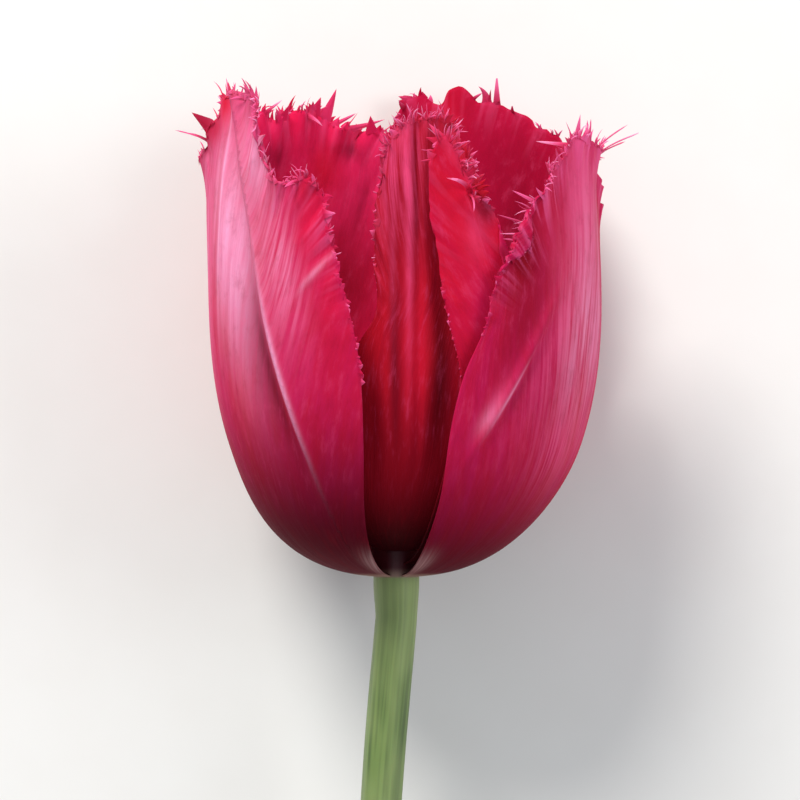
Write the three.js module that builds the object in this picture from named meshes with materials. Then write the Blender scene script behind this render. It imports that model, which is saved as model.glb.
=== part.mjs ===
// A single cut fringed tulip that lies on a table. Its six petals stand in two
// layers round a receptacle, with the pistil and six stamens inside, on a stem
// with two leaves.
//
// Frame: millimetres, +Z up, table top at z = 0. The bloom points along +Y and
// the side of it that faces up is its front. The origin is the spot of the back
// petal's belly that the bloom rests on.
import * as THREE from 'three';

const { degToRad, smoothstep, lerp } = THREE.MathUtils;

// The cup that the petals form, measured above the joint with the stem.
const CUP_RADIUS = 29.5;
const BELLY_HEIGHT = 45;
const BELLY_SHARE = 0.62;
const PROFILE_TOP = 90;
const CUP_SQUARENESS = 2.45;
const LIP_DRAW_IN = 2.2;
const CUP_LEAN = 1.3;
const LEAN_ZONE = [0, 20];
const MM_PER_DEGREE = CUP_RADIUS * Math.PI / 180;

// The petals.
const PETAL_THICKNESS = 0.85;
const LAYER_STEP = 1.9;
const LAYER_SPREAD = 0.7;
const SPREAD_ZONE = [40, 72];
const OUTER_ROOT = 3.4;
const INNER_ROOT = 4.2;
const PETAL_ROWS = 18;
const WAVE = 0.45;

// The fringe: triangular teeth, two to each stretch of a petal's cut edge.
const FRINGE_START = 33;
const FRINGE_FULL = 64;
const TOOTH_SHORT = 0.9;
const TOOTH_LONG = 3.4;
const TOOTH_VALLEY = 0.3;
const TOOTH_SPACING = 2.4;
const TOOTH_PLACES = [0.27, 0.73];
const TOOTH_JITTER = 0.1;
const TOOTH_LEAN = 0.6;
const SHORTEST_SHARE = 0.35;
const HORN_ZONE = 5;
const FIRST_SEED = 11;
const SEED_STEP = 17;

// The stem, its receptacle, and how the flower lies.
const STEM_LENGTH = 240;
const STEM_RADIUS_TOP = 2.85;
const STEM_RADIUS_END = 3.4;
const STEM_WAY = [
  { back: 1, x: 4, z: STEM_RADIUS_END - 0.1 },
  { back: 0.84, x: 1, z: STEM_RADIUS_END - 0.1 },
  { back: 0.58, x: -5, z: 7.4 },
  { back: 0.3, x: -5.5, z: 15.6 },
];
const NECK_LENGTH = 30;
const NECK_STRAIGHT = 6;
const NECK_BEND = new THREE.Vector3(-2, 0, -0.6);
const STEM_SIDES = 12;
const STEM_RINGS = 34;
const RECEPTACLE_RADIUS = 3.8;
const RECEPTACLE_SHOULDER = 1.55;
const RECEPTACLE_TOP = 5.3;
const BLOOM_TILT = 6;
const FLAT_SPOT_DEPTH = 0.45;

// The leaves.
const LEAF_THICKNESS = 0.9;
const LEAF_ROWS = 20;
const LEAF_COLUMNS = 6;
const CLASP_GAP = 0.6;
const CLASP_ANGLE = 55;
const CLASP_RISE = 34;

// Where along a leaf it leaves the stem, widens, turns upwards and lifts its tip.
const LEAVES_STEM = [0.03, 0.2];
const WIDENS = [0.06, 0.45];
const TURNS = [0.1, 0.85];
const LIFTS = [0.6, 1];
const TIP_HALF_WIDTH = 0.8;

// The pistil and the stamens, with the gap that parts keep where they meet.
const SEAT_GAP = 0.35;
const OVARY_HEIGHT = 13;
const OVARY_RADIUS = 3;
const STIGMA_RADIUS = 3.9;
const STIGMA_HEIGHT = 3.4;
const STAMEN_COUNT = 6;
const FILAMENT_HEIGHT = 6;
const FILAMENT_RADIUS = 0.55;
const ANTHER_LENGTH = 11;
const ANTHER_RADIUS = 1.3;
const STAMEN_CIRCLE = 3.05;
const STAMEN_LEAN = 12;

const OUTER_COLOUR = 0xc4325f;
const INNER_COLOUR = 0xb81c3c;
const STEM_COLOUR = 0x7f9a5c;
const LEAF_COLOUR = 0x6f9377;
const OVARY_COLOUR = 0x8fa45a;
const STIGMA_COLOUR = 0xd9cf8c;
const FILAMENT_COLOUR = 0x2a1620;
const ANTHER_COLOUR = 0x1d1218;

// A repeatable source of random numbers from 0 to 1.
function seededRandom(seed) {
  let state = seed;
  return () => {
    state = (state + 0x6d2b79f5) | 0;
    let mixed = Math.imul(state ^ (state >>> 15), 1 | state);
    mixed = (mixed + Math.imul(mixed ^ (mixed >>> 7), 61 | mixed)) ^ mixed;
    return ((mixed ^ (mixed >>> 14)) >>> 0) / 4294967296;
  };
}

// The cup's wall from the joint up: a superellipse quarter to the belly, then a
// wall that draws in a little towards the lip. x is the radius, y the height.
class CupProfile extends THREE.Curve {
  getPoint(t, target = new THREE.Vector2()) {
    if (t < BELLY_SHARE) {
      const angle = (t / BELLY_SHARE) * Math.PI / 2;
      const power = 2 / CUP_SQUARENESS;
      const radius = CUP_RADIUS * Math.sin(angle) ** power;
      const height = BELLY_HEIGHT * (1 - Math.max(Math.cos(angle), 0) ** power);
      return target.set(radius, height);
    }
    const along = (t - BELLY_SHARE) / (1 - BELLY_SHARE);
    const height = lerp(BELLY_HEIGHT, PROFILE_TOP, along);
    return target.set(CUP_RADIUS - LIP_DRAW_IN * along * along, height);
  }
}

const profile = new CupProfile();
profile.arcLengthDivisions = 900;
const PROFILE_LENGTH = profile.getLength();

// The distance along the wall at which it reaches a height.
function arcAtHeight(height) {
  let low = 0;
  let high = 1;
  for (let step = 0; step < 40; step += 1) {
    const middle = (low + high) / 2;
    if (profile.getPointAt(middle).y < height) low = middle;
    else high = middle;
  }
  return low * PROFILE_LENGTH;
}

// How far the cup's centre stands to the side of the joint at a height.
function cupCentre(height) {
  return -CUP_LEAN * (1 - smoothstep(height, ...LEAN_ZONE));
}

// Soft waves that all layers share, so that they nest. They run round the cup and
// slant a little, and grow towards the lip.
function sharedWave(azimuth, height) {
  const angle = degToRad(azimuth);
  const broad = Math.sin(5 * angle + 0.05 * height);
  const narrow = 0.6 * Math.sin(11 * angle - 0.09 * height);
  return WAVE * smoothstep(height, 10, 70) * (broad + narrow);
}

// A point of the cup in the bloom's own upright frame, from its place on the
// unrolled wall (x round it, y up along it) and its depth inside the wall.
function onCup(flat, depth) {
  const azimuth = flat.x / MM_PER_DEGREE;
  const along = THREE.MathUtils.clamp(flat.y / PROFILE_LENGTH, 0, 1);
  const wall = profile.getPointAt(along);
  const tangent = profile.getTangentAt(along);
  const inward = depth - sharedWave(azimuth, wall.y);
  const radius = wall.x - inward * tangent.y;
  const height = wall.y + inward * tangent.x;
  const angle = degToRad(azimuth);
  return new THREE.Vector3(
    radius * Math.sin(angle) + cupCentre(wall.y),
    -radius * Math.cos(angle),
    height,
  );
}

// The upright bloom is laid on its back and tilted so that its belly and the end
// of its stem touch the table.
function lowestOfBelly() {
  const tilt = degToRad(BLOOM_TILT);
  let lowest = { y: 0, z: Infinity };
  for (let height = 10; height <= 70; height += 0.25) {
    const radius = profile.getPointAt(arcAtHeight(height) / PROFILE_LENGTH).x + sharedWave(180, height);
    const z = height * Math.sin(tilt) - radius * Math.cos(tilt);
    if (z < lowest.z) lowest = { y: height * Math.cos(tilt) + radius * Math.sin(tilt), z };
  }
  return lowest;
}

const belly = lowestOfBelly();
const bloom = new THREE.Group();
bloom.rotation.x = degToRad(BLOOM_TILT - 90);
bloom.position.set(0, -belly.y, -belly.z - FLAT_SPOT_DEPTH);
bloom.updateMatrix();

function inRow(x, y, z) {
  return new THREE.Vector3(x, y, z).applyMatrix4(bloom.matrix);
}

// A closed sheet of even thickness. Each point becomes one vertex on the front
// face and one on the back, both faces have the same triangles, and the rim,
// which runs counter-clockwise as seen from the front, gets a wall.
function thickSheet(count, faces, rim, vertexAt) {
  const positions = [];
  for (const side of [0, 1]) {
    for (let i = 0; i < count; i += 1) positions.push(...vertexAt(i, side).toArray());
  }
  const index = [];
  for (const [a, b, c] of faces) index.push(a, b, c, a + count, c + count, b + count);
  rim.forEach((a, k) => {
    const b = rim[(k + 1) % rim.length];
    index.push(a, a + count, b, b, a + count, b + count);
  });
  const geometry = new THREE.BufferGeometry();
  geometry.setAttribute('position', new THREE.Float32BufferAttribute(positions, 3));
  geometry.setIndex(index);
  geometry.computeVertexNormals();
  return geometry;
}

// The triangles of a grid of cells and the loop of its border points.
function gridTopology(columns, rows) {
  const at = (column, row) => row * (columns + 1) + column;
  const faces = [];
  for (let row = 0; row < rows; row += 1) {
    for (let column = 0; column < columns; column += 1) {
      const a = at(column, row);
      const b = at(column + 1, row);
      const c = at(column + 1, row + 1);
      const d = at(column, row + 1);
      faces.push([a, b, c], [a, c, d]);
    }
  }
  const border = [];
  for (let column = 0; column < columns; column += 1) border.push(at(column, 0));
  for (let row = 0; row < rows; row += 1) border.push(at(columns, row));
  for (let column = columns; column > 0; column -= 1) border.push(at(column, rows));
  for (let row = rows; row > 0; row -= 1) border.push(at(0, row));
  return { faces, border };
}

// One edge of a petal's outline on the unrolled wall, from azimuths in degrees
// and heights in millimetres. A first height of null starts at the root.
function outlineEdge(points, root) {
  return new THREE.SplineCurve(points.map(([azimuth, height]) => {
    const along = height === null ? root : arcAtHeight(height);
    return new THREE.Vector2(azimuth * MM_PER_DEGREE, along);
  }));
}

// A patch stretched between a petal's four edges.
function stretchedPatch(left, right, top) {
  return (u, v) => {
    const base = left.getPoint(0).lerp(right.getPoint(0), u);
    const shoulders = left.getPoint(1).lerp(right.getPoint(1), u);
    const between = left.getPointAt(v).lerp(right.getPointAt(v), u);
    const upwards = base.clone().lerp(top.getPointAt(u), v);
    return upwards.add(between).sub(base.lerp(shoulders, v));
  };
}

const heightOf = (flat) => profile.getPointAt(THREE.MathUtils.clamp(flat.y / PROFILE_LENGTH, 0, 1)).y;

// How long a tooth is at a height: none low on the petal, longest at the tip.
function toothLength(height, random) {
  const reach = smoothstep(height, FRINGE_START, FRINGE_FULL);
  return lerp(TOOTH_SHORT, TOOTH_LONG, reach * lerp(SHORTEST_SHARE, 1, random()));
}

// The horn that a petal has at a place of its rim, if it has one there.
function hornAt(horns, flat) {
  const near = (horn) => Math.abs(horn.azimuth * MM_PER_DEGREE - flat.x) < TOOTH_SPACING / 2;
  return horns.find((horn) => near(horn) && Math.abs(horn.height - heightOf(flat)) < HORN_ZONE);
}

// The point of one tooth, at a share of the border stretch from a to b. Its depth
// says how far it curls out of the cup or into it.
function toothPoint(a, b, share, shape) {
  const { random, curl, horns } = shape;
  const along = b.flat.clone().sub(a.flat);
  const outward = new THREE.Vector2(along.y, -along.x).normalize();
  const flat = a.flat.clone().addScaledVector(along, share + (random() - 0.5) * TOOTH_JITTER);
  const horn = hornAt(horns, flat);
  const usual = toothLength(heightOf(a.flat), random);
  const lean = (random() - 0.5) * TOOTH_LEAN * usual;
  const bend = lerp(curl[0], curl[1], random()) * usual;
  flat.addScaledVector(outward, horn ? horn.rise : usual);
  flat.addScaledVector(along.normalize(), lean);
  return { flat, depth: (a.depth + b.depth) / 2 + (horn ? -horn.reach : bend) };
}

// Adds two teeth outside the border stretch from a to b, and returns the points
// of the rim between the two.
function addTeeth(points, faces, a, b, shape) {
  const [from, to] = [points[a], points[b]];
  const along = to.flat.clone().sub(from.flat);
  const outward = new THREE.Vector2(along.y, -along.x).normalize();
  const middle = from.flat.clone().lerp(to.flat, 0.5).addScaledVector(outward, TOOTH_VALLEY);
  const first = points.push(toothPoint(from, to, TOOTH_PLACES[0], shape)) - 1;
  const valley = points.push({ flat: middle, depth: (from.depth + to.depth) / 2 }) - 1;
  const second = points.push(toothPoint(from, to, TOOTH_PLACES[1], shape)) - 1;
  faces.push([a, first, valley], [a, valley, b], [valley, second, b]);
  return [first, valley, second];
}

// A petal from its outline, its layer and its own relief.
function petalGeometry(petal, seed) {
  const root = petal.layer === 0 ? OUTER_ROOT : INNER_ROOT;
  const left = outlineEdge(petal.left, root);
  const right = outlineEdge(petal.right, root);
  const top = outlineEdge([petal.left.at(-1), ...petal.top, petal.right.at(-1)], root);
  const patch = stretchedPatch(left, right, top);
  const { faces, border } = gridTopology(petal.columns, PETAL_ROWS);
  const points = [];
  for (let row = 0; row <= PETAL_ROWS; row += 1) {
    for (let column = 0; column <= petal.columns; column += 1) {
      const flat = patch(column / petal.columns, row / PETAL_ROWS);
      const height = heightOf(flat);
      const spread = 1 + LAYER_SPREAD * smoothstep(height, ...SPREAD_ZONE);
      const relief = petal.relief(flat.x / MM_PER_DEGREE, height);
      points.push({ flat, depth: petal.layer * LAYER_STEP * spread - relief });
    }
  }
  const shape = { random: seededRandom(seed), curl: petal.curl, horns: petal.horns ?? [] };
  const rim = [];
  border.forEach((a, k) => {
    const b = border[(k + 1) % border.length];
    rim.push(a);
    const lowest = Math.min(heightOf(points[a].flat), heightOf(points[b].flat));
    if (lowest > FRINGE_START) rim.push(...addTeeth(points, faces, a, b, shape));
  });
  const vertexAt = (i, side) => {
    const { flat, depth } = points[i];
    const vertex = onCup(flat, depth + side * PETAL_THICKNESS).applyMatrix4(bloom.matrix);
    vertex.z = Math.max(vertex.z, side * PETAL_THICKNESS);
    return vertex;
  };
  return thickSheet(points.length, faces, rim, vertexAt);
}

// A ridge, or a groove where its height is negative, along a line of azimuths.
const ridge = (azimuth, at, width, height) => height * Math.exp(-(((azimuth - at) / width) ** 2));

const noRelief = () => 0;

// The left petal is folded along a keel that runs from low on its front to its tip.
function keelOfLeftPetal(azimuth, height) {
  const keel = -32 - 0.53 * (height - 15);
  const fade = smoothstep(height, 8, 22);
  return fade * (ridge(azimuth, keel, 4, 0.7) + ridge(azimuth, keel - 9, 6, -0.7));
}

// The right petal's front corner is folded out along a slanting crease.
function creaseOfRightPetal(azimuth, height) {
  const crease = 27.5 + 1.15 * (height - 23);
  const fade = smoothstep(height, 14, 24) * (1 - smoothstep(height, 36, 46));
  return fade * ridge(azimuth, crease, 5, 0.6);
}

// The front petal has a raised midrib between two sides that lie deeper, and turns
// in beside its neighbour.
function midribOfFrontPetal(azimuth, height) {
  const fade = smoothstep(height, 10, 25);
  const leftSide = 0.9 * (1 - smoothstep(azimuth, -13, -6));
  const rightSide = 0.9 * smoothstep(azimuth, 6, 13);
  return fade * (ridge(azimuth, 1, 4, 0.7) - leftSide - rightSide);
}

const petals = [
  {
    name: 'petal_outer_left',
    layer: 0,
    columns: 14,
    colour: OUTER_COLOUR,
    curl: [-0.5, 0.1],
    relief: keelOfLeftPetal,
    horns: [
      { azimuth: -87, height: 65, rise: 1.2, reach: 5.2 },
      { azimuth: -79.5, height: 66.5, rise: 3.4, reach: 2.4 },
    ],
    left: [[-122, null], [-124, 12], [-124, 32], [-116, 48], [-100, 60]],
    top: [[-88, 65], [-80, 66], [-73, 67.5], [-69, 71.5], [-61, 73.5], [-53, 73], [-49, 69], [-46, 63],
      [-38, 59]],
    right: [[-15, null], [-14.5, 10], [-13, 27], [-15, 37], [-20.5, 48], [-22.5, 55], [-29, 59.5]],
  },
  {
    name: 'petal_outer_right',
    layer: 0,
    columns: 14,
    colour: OUTER_COLOUR,
    curl: [-0.5, 0.1],
    relief: creaseOfRightPetal,
    horns: [
      { azimuth: 72, height: 66, rise: 3.8, reach: 5.4 },
      { azimuth: 79, height: 64.5, rise: 1.8, reach: 6.6 },
    ],
    left: [[13.5, null], [14.5, 9], [14, 20], [17.3, 29.6], [23.5, 37], [26.5, 43], [31, 46.5], [38, 49]],
    top: [[40, 54], [41.5, 57.5], [45.5, 61.8], [52, 64.5], [57, 68], [64, 68.5], [74, 66], [88, 62]],
    right: [[111, null], [112, 12], [112, 32], [109, 46], [101, 56]],
  },
  {
    name: 'petal_outer_back',
    layer: 0,
    columns: 14,
    colour: OUTER_COLOUR,
    curl: [-0.3, 0.3],
    relief: noRelief,
    left: [[119, null], [118, 12], [117.5, 34], [118, 48], [121, 58]],
    top: [[127, 64], [138, 68], [150, 72.5], [160, 74.5], [170, 74], [177, 71], [181, 66]],
    right: [[224, null], [224, 12], [224, 34], [212, 51], [189, 62]],
  },
  {
    name: 'petal_inner_left',
    layer: 1,
    columns: 14,
    colour: INNER_COLOUR,
    curl: [0, 0.45],
    relief: noRelief,
    left: [[168, null], [166, 12], [164, 30], [168, 46], [178, 58]],
    top: [[184, 65], [192, 68.5], [203, 69.5], [213, 69.5], [224, 70.5], [233, 70], [241, 66]],
    right: [[285, null], [285, 12], [284, 30], [272, 48], [250, 60]],
  },
  {
    name: 'petal_inner_right',
    layer: 1,
    columns: 14,
    colour: INNER_COLOUR,
    curl: [-0.1, 0.15],
    relief: noRelief,
    left: [[16, null], [15, 10], [16, 21], [17.5, 30], [13.5, 38], [10.5, 45], [8, 54], [7.5, 60]],
    top: [[9.5, 64], [14, 65.8], [18.5, 63], [21, 57.5], [27, 55.5], [30, 52], [31, 47], [38, 44.5],
      [70, 47]],
    right: [[125, null], [126, 12], [126, 27], [120, 38], [104, 45]],
  },
  {
    name: 'petal_inner_front',
    layer: 2,
    columns: 10,
    colour: INNER_COLOUR,
    curl: [-0.05, 0.35],
    relief: midribOfFrontPetal,
    left: [[-27, null], [-26, 12], [-24, 24], [-18, 33], [-9.5, 40], [-10.5, 50], [-10, 58], [-8, 63]],
    top: [[-3, 66.5], [4, 68], [12, 69], [19, 67]],
    right: [[30, null], [31, 20], [33, 40], [31, 54], [25, 62]],
  },
];

// A closed tube of changing radius along rings of points, with flat caps. Rings
// run from the first to the last centre, each as {centre, tangent, radius}.
function ringedTube(rings, sides, lift = 0) {
  const positions = [];
  const upright = new THREE.Vector3(0, 0, 1);
  for (const { centre, tangent, radius } of rings) {
    const across = new THREE.Vector3().crossVectors(tangent, upright).normalize();
    const over = new THREE.Vector3().crossVectors(across, tangent).normalize();
    for (let k = 0; k < sides; k += 1) {
      const angle = ((k + 0.5) / sides) * 2 * Math.PI;
      const vertex = centre.clone()
        .addScaledVector(across, radius * Math.cos(angle))
        .addScaledVector(over, radius * Math.sin(angle));
      vertex.z = Math.max(vertex.z, lift);
      positions.push(...vertex.toArray());
    }
  }
  const last = rings.length - 1;
  positions.push(...rings[0].centre.toArray(), ...rings[last].centre.toArray());
  const startCap = rings.length * sides;
  const index = [];
  for (let k = 0; k < sides; k += 1) {
    const next = (k + 1) % sides;
    for (let ring = 0; ring < last; ring += 1) {
      const a = ring * sides + k;
      const b = ring * sides + next;
      index.push(a, b + sides, b, a, a + sides, b + sides);
    }
    index.push(startCap, k, next, startCap + 1, last * sides + next, last * sides + k);
  }
  const geometry = new THREE.BufferGeometry();
  geometry.setAttribute('position', new THREE.Float32BufferAttribute(positions, 3));
  geometry.setIndex(index);
  geometry.computeVertexNormals();
  return geometry;
}

// The stem's centre line from its cut end to the joint: it lies on the table at
// its end and rises to the bloom.
const joint = inRow(-CUP_LEAN, 0, 0);
const bloomAxis = inRow(-CUP_LEAN, 0, 1).sub(joint);
const stemPath = new THREE.CatmullRomCurve3([
  ...STEM_WAY.map(({ back, x, z }) => new THREE.Vector3(x, joint.y - STEM_LENGTH * back, z)),
  joint.clone().addScaledVector(bloomAxis, -NECK_LENGTH).add(NECK_BEND),
  joint.clone().addScaledVector(bloomAxis, -NECK_STRAIGHT),
]);

function stemGeometry() {
  const rings = [];
  for (let k = 0; k <= STEM_RINGS; k += 1) {
    const t = k / STEM_RINGS;
    rings.push({
      centre: stemPath.getPointAt(t),
      tangent: stemPath.getTangentAt(t),
      radius: lerp(STEM_RADIUS_END, STEM_RADIUS_TOP, t),
    });
  }
  const receptacle = [
    [-2, STEM_RADIUS_TOP],
    [RECEPTACLE_SHOULDER - 0.2, STEM_RADIUS_TOP],
    [RECEPTACLE_SHOULDER + 0.2, RECEPTACLE_RADIUS],
    [RECEPTACLE_TOP, RECEPTACLE_RADIUS],
  ];
  for (const [height, radius] of receptacle) {
    rings.push({ centre: joint.clone().addScaledVector(bloomAxis, height), tangent: bloomAxis, radius });
  }
  return ringedTube(rings, STEM_SIDES);
}

// A leaf is a trough whose cross-sections follow each other along Y. At its base
// it clasps the side of the stem. Then it swings clear of the stem, opens upwards
// and rests on the table, and its tip lifts.
function leafSection(leaf, t) {
  const onStem = stemPath.getPointAt(leaf.stemShare);
  const claspRadius = STEM_RADIUS_END + CLASP_GAP + LEAF_THICKNESS;
  const away = smoothstep(t, ...LEAVES_STEM);
  const widened = smoothstep(t, ...WIDENS);
  const turned = smoothstep(t, ...TURNS);
  const swell = Math.sin(Math.PI * (0.1 + 0.9 * t) ** 0.8) ** 0.8;
  const claspWidth = claspRadius * degToRad(CLASP_ANGLE);
  const halfWidth = Math.max(lerp(claspWidth, leaf.halfWidth * swell, widened), TIP_HALF_WIDTH);
  const halfAngle = degToRad(lerp(CLASP_ANGLE, leaf.troughAngle, away));
  const radius = halfWidth / halfAngle;
  const facing = degToRad(lerp(-CLASP_RISE, leaf.facing, turned));
  const open = { x: -leaf.side * Math.cos(facing), z: Math.sin(facing) };
  const across = { x: leaf.side * Math.sin(facing), z: Math.cos(facing) };
  const edgeRise = Math.sin(halfAngle) * Math.sin(Math.abs(facing));
  const edgeX = radius * (edgeRise + (1 - Math.cos(halfAngle)) * Math.cos(facing));
  const lowAngle = Math.max(-facing - Math.PI / 2, -halfAngle);
  const lowest = radius * (Math.sin(lowAngle) * across.z + (1 - Math.cos(lowAngle)) * open.z);
  const gap = CLASP_GAP + leaf.spread * t ** 1.3;
  const stemX = stemPath.getPointAt(leaf.stemShare + (t * leaf.length) / STEM_LENGTH).x;
  const claspX = onStem.x + leaf.side * claspRadius * Math.cos(degToRad(CLASP_RISE));
  const claspZ = onStem.z + claspRadius * Math.sin(degToRad(CLASP_RISE));
  const midrib = {
    x: lerp(claspX, stemX + leaf.side * (STEM_RADIUS_END + gap + edgeX), away),
    y: onStem.y + leaf.length * t,
    z: lerp(claspZ, leaf.tipLift * smoothstep(t, ...LIFTS) - lowest, away),
  };
  const wave = leaf.wave * turned * Math.sin(leaf.waves * t * Math.PI);
  return { midrib, open, across, radius, halfAngle, wave };
}

function leafGeometry(leaf) {
  const { faces, border } = gridTopology(LEAF_COLUMNS, LEAF_ROWS);
  const vertexAt = (i, face) => {
    const section = leafSection(leaf, Math.floor(i / (LEAF_COLUMNS + 1)) / LEAF_ROWS);
    const { midrib, open, across, radius, halfAngle } = section;
    const u = -leaf.side * (((i % (LEAF_COLUMNS + 1)) / LEAF_COLUMNS) * 2 - 1);
    const reach = radius - face * LEAF_THICKNESS;
    const sideways = reach * Math.sin(u * halfAngle);
    const inward = radius - reach * Math.cos(u * halfAngle) + section.wave * u * u;
    return new THREE.Vector3(
      midrib.x + sideways * across.x + inward * open.x,
      midrib.y,
      Math.max(midrib.z + sideways * across.z + inward * open.z, face * LEAF_THICKNESS * 0.9),
    );
  };
  return thickSheet((LEAF_COLUMNS + 1) * (LEAF_ROWS + 1), faces, border, vertexAt);
}

const leaves = [
  {
    name: 'leaf_lower',
    side: -1,
    stemShare: 0.12,
    length: 150,
    halfWidth: 15,
    troughAngle: 36,
    facing: 62,
    spread: 20,
    tipLift: 9,
    wave: 1.2,
    waves: 4,
  },
  {
    name: 'leaf_upper',
    side: 1,
    stemShare: 0.25,
    length: 124,
    halfWidth: 12.5,
    troughAngle: 38,
    facing: 58,
    spread: 17,
    tipLift: 7,
    wave: 1,
    waves: 3,
  },
];

// An outline given in shares of a radius and a height.
function scaled(outline, radius, height) {
  return outline.map(([r, h]) => new THREE.Vector2(r * radius, h * height));
}

// The pistil: a three-sided ovary with a three-lobed stigma on top of it.
function threeSidedColumn(outline, sides, lobing) {
  const geometry = new THREE.LatheGeometry(outline, sides).rotateX(Math.PI / 2);
  const position = geometry.getAttribute('position');
  for (let i = 0; i < position.count; i += 1) {
    const angle = Math.atan2(position.getY(i), position.getX(i));
    const swell = 1 + lobing * Math.cos(3 * angle);
    position.setXY(i, position.getX(i) * swell, position.getY(i) * swell);
  }
  geometry.computeVertexNormals();
  return geometry;
}

function ovaryGeometry() {
  const outline = [[0, 0], [0.62, 0], [0.95, 0.3], [1, 0.6], [0.8, 1], [0, 1]];
  return threeSidedColumn(scaled(outline, OVARY_RADIUS, OVARY_HEIGHT), 12, 0.1);
}

function stigmaGeometry() {
  const outline = [[0, 0], [0.55, 0], [1, 0.45], [0.85, 1], [0.35, 0.8], [0, 0.7]];
  return threeSidedColumn(scaled(outline, STIGMA_RADIUS, STIGMA_HEIGHT), 18, 0.26);
}

function filamentGeometry() {
  return new THREE.CylinderGeometry(FILAMENT_RADIUS * 0.7, FILAMENT_RADIUS, FILAMENT_HEIGHT, 6)
    .rotateX(Math.PI / 2)
    .translate(0, 0, FILAMENT_HEIGHT / 2);
}

function antherGeometry() {
  const outline = [[0, 0], [0.6, 0.04], [1, 0.25], [0.9, 0.7], [0.45, 0.95], [0, 1]];
  return new THREE.LatheGeometry(scaled(outline, ANTHER_RADIUS, ANTHER_LENGTH), 7).rotateX(Math.PI / 2);
}

function named(name, geometry, color, roughness) {
  const mesh = new THREE.Mesh(geometry, new THREE.MeshStandardMaterial({ color, roughness, metalness: 0 }));
  mesh.name = name;
  return mesh;
}

// The pistil and the stamens stand on the receptacle, in the bloom's own frame.
function addBloomCentre() {
  const seat = RECEPTACLE_TOP + SEAT_GAP;
  const ovary = named('ovary', ovaryGeometry(), OVARY_COLOUR, 0.5);
  ovary.position.set(-CUP_LEAN, 0, seat);
  const stigma = named('stigma', stigmaGeometry(), STIGMA_COLOUR, 0.7);
  stigma.position.set(-CUP_LEAN, 0, seat + OVARY_HEIGHT + SEAT_GAP);
  bloom.add(ovary, stigma);
  for (let k = 0; k < STAMEN_COUNT; k += 1) {
    const turn = degToRad((k + 0.5) * (360 / STAMEN_COUNT));
    const stamen = new THREE.Group();
    const [across, deep] = [STAMEN_CIRCLE * Math.cos(turn), STAMEN_CIRCLE * Math.sin(turn)];
    stamen.position.set(across - CUP_LEAN, deep, seat + 0.05);
    stamen.rotation.set(0, degToRad(STAMEN_LEAN), turn, 'ZYX');
    const filament = named(`filament_${k + 1}`, filamentGeometry(), FILAMENT_COLOUR, 0.55);
    const anther = named(`anther_${k + 1}`, antherGeometry(), ANTHER_COLOUR, 0.8);
    anther.position.z = FILAMENT_HEIGHT + SEAT_GAP;
    stamen.add(filament, anther);
    bloom.add(stamen);
  }
}

const tulip = new THREE.Group();
petals.forEach((petal, k) => {
  tulip.add(named(petal.name, petalGeometry(petal, FIRST_SEED + SEED_STEP * k), petal.colour, 0.45));
});
addBloomCentre();
tulip.add(bloom);
tulip.add(named('stem', stemGeometry(), STEM_COLOUR, 0.5));
for (const leaf of leaves) tulip.add(named(leaf.name, leafGeometry(leaf), LEAF_COLOUR, 0.55));

export default tulip;
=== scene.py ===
"""A cut fringed tulip, lying on its back: the looks of its petals, stem and leaves."""
import math

import bpy
import numpy as np
from mathutils import Matrix, Vector


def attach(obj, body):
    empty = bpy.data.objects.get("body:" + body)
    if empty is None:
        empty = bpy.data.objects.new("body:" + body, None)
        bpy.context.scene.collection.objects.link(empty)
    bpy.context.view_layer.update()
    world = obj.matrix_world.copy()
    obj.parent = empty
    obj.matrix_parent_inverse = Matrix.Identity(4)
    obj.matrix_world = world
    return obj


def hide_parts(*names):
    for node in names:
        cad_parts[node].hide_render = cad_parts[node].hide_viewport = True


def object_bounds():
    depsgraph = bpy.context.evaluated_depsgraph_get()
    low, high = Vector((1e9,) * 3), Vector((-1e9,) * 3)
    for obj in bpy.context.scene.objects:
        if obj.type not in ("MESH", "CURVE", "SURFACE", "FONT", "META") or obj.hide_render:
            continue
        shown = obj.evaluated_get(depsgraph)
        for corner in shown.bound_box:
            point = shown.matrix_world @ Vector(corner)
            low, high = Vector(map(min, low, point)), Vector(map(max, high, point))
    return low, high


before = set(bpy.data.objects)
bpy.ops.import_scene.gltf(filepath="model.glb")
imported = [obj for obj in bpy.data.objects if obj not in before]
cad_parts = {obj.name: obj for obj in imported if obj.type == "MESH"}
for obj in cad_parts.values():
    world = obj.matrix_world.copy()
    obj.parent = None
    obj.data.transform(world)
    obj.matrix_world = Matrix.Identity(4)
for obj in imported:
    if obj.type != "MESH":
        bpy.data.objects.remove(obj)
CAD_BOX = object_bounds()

MM = 0.001

# The cup that the petals form, in millimetres above the joint with the stem.
CUP_RADIUS = 29.5
BELLY_HEIGHT = 45.0
PROFILE_TOP = 90.0
CUP_SQUARENESS = 2.45
LIP_DRAW_IN = 2.2
CUP_LEAN = 1.3
WAVE = 0.45
WALL_STEP = 0.2
MM_PER_DEGREE = CUP_RADIUS * math.pi / 180

# The petals' layers, and where they start on the receptacle.
LAYER_STEP = 1.9
LAYER_SPREAD = 0.7
OUTER_ROOT = 3.4
INNER_ROOT = 4.2
PETAL_THICKNESS = 0.6
EDGE_THINNESS = 0.35
MARGIN_WIDTH = 8.0
FRINGE_START = 33.0
FRINGE_FULL = 56.0
LIP_ROLL = 0.5
INNER_LIP = 0.35
SPREAD_START = 40.0
SPREAD_END = 72.0
FAN_HEIGHT = 32.0
FAN_RADIUS = 32.0
FAN_OFFSET = 150.0
HIGHEST = 75.8
BARB_SLANT = 0.31
BARB_SCALE = 55.0

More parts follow.
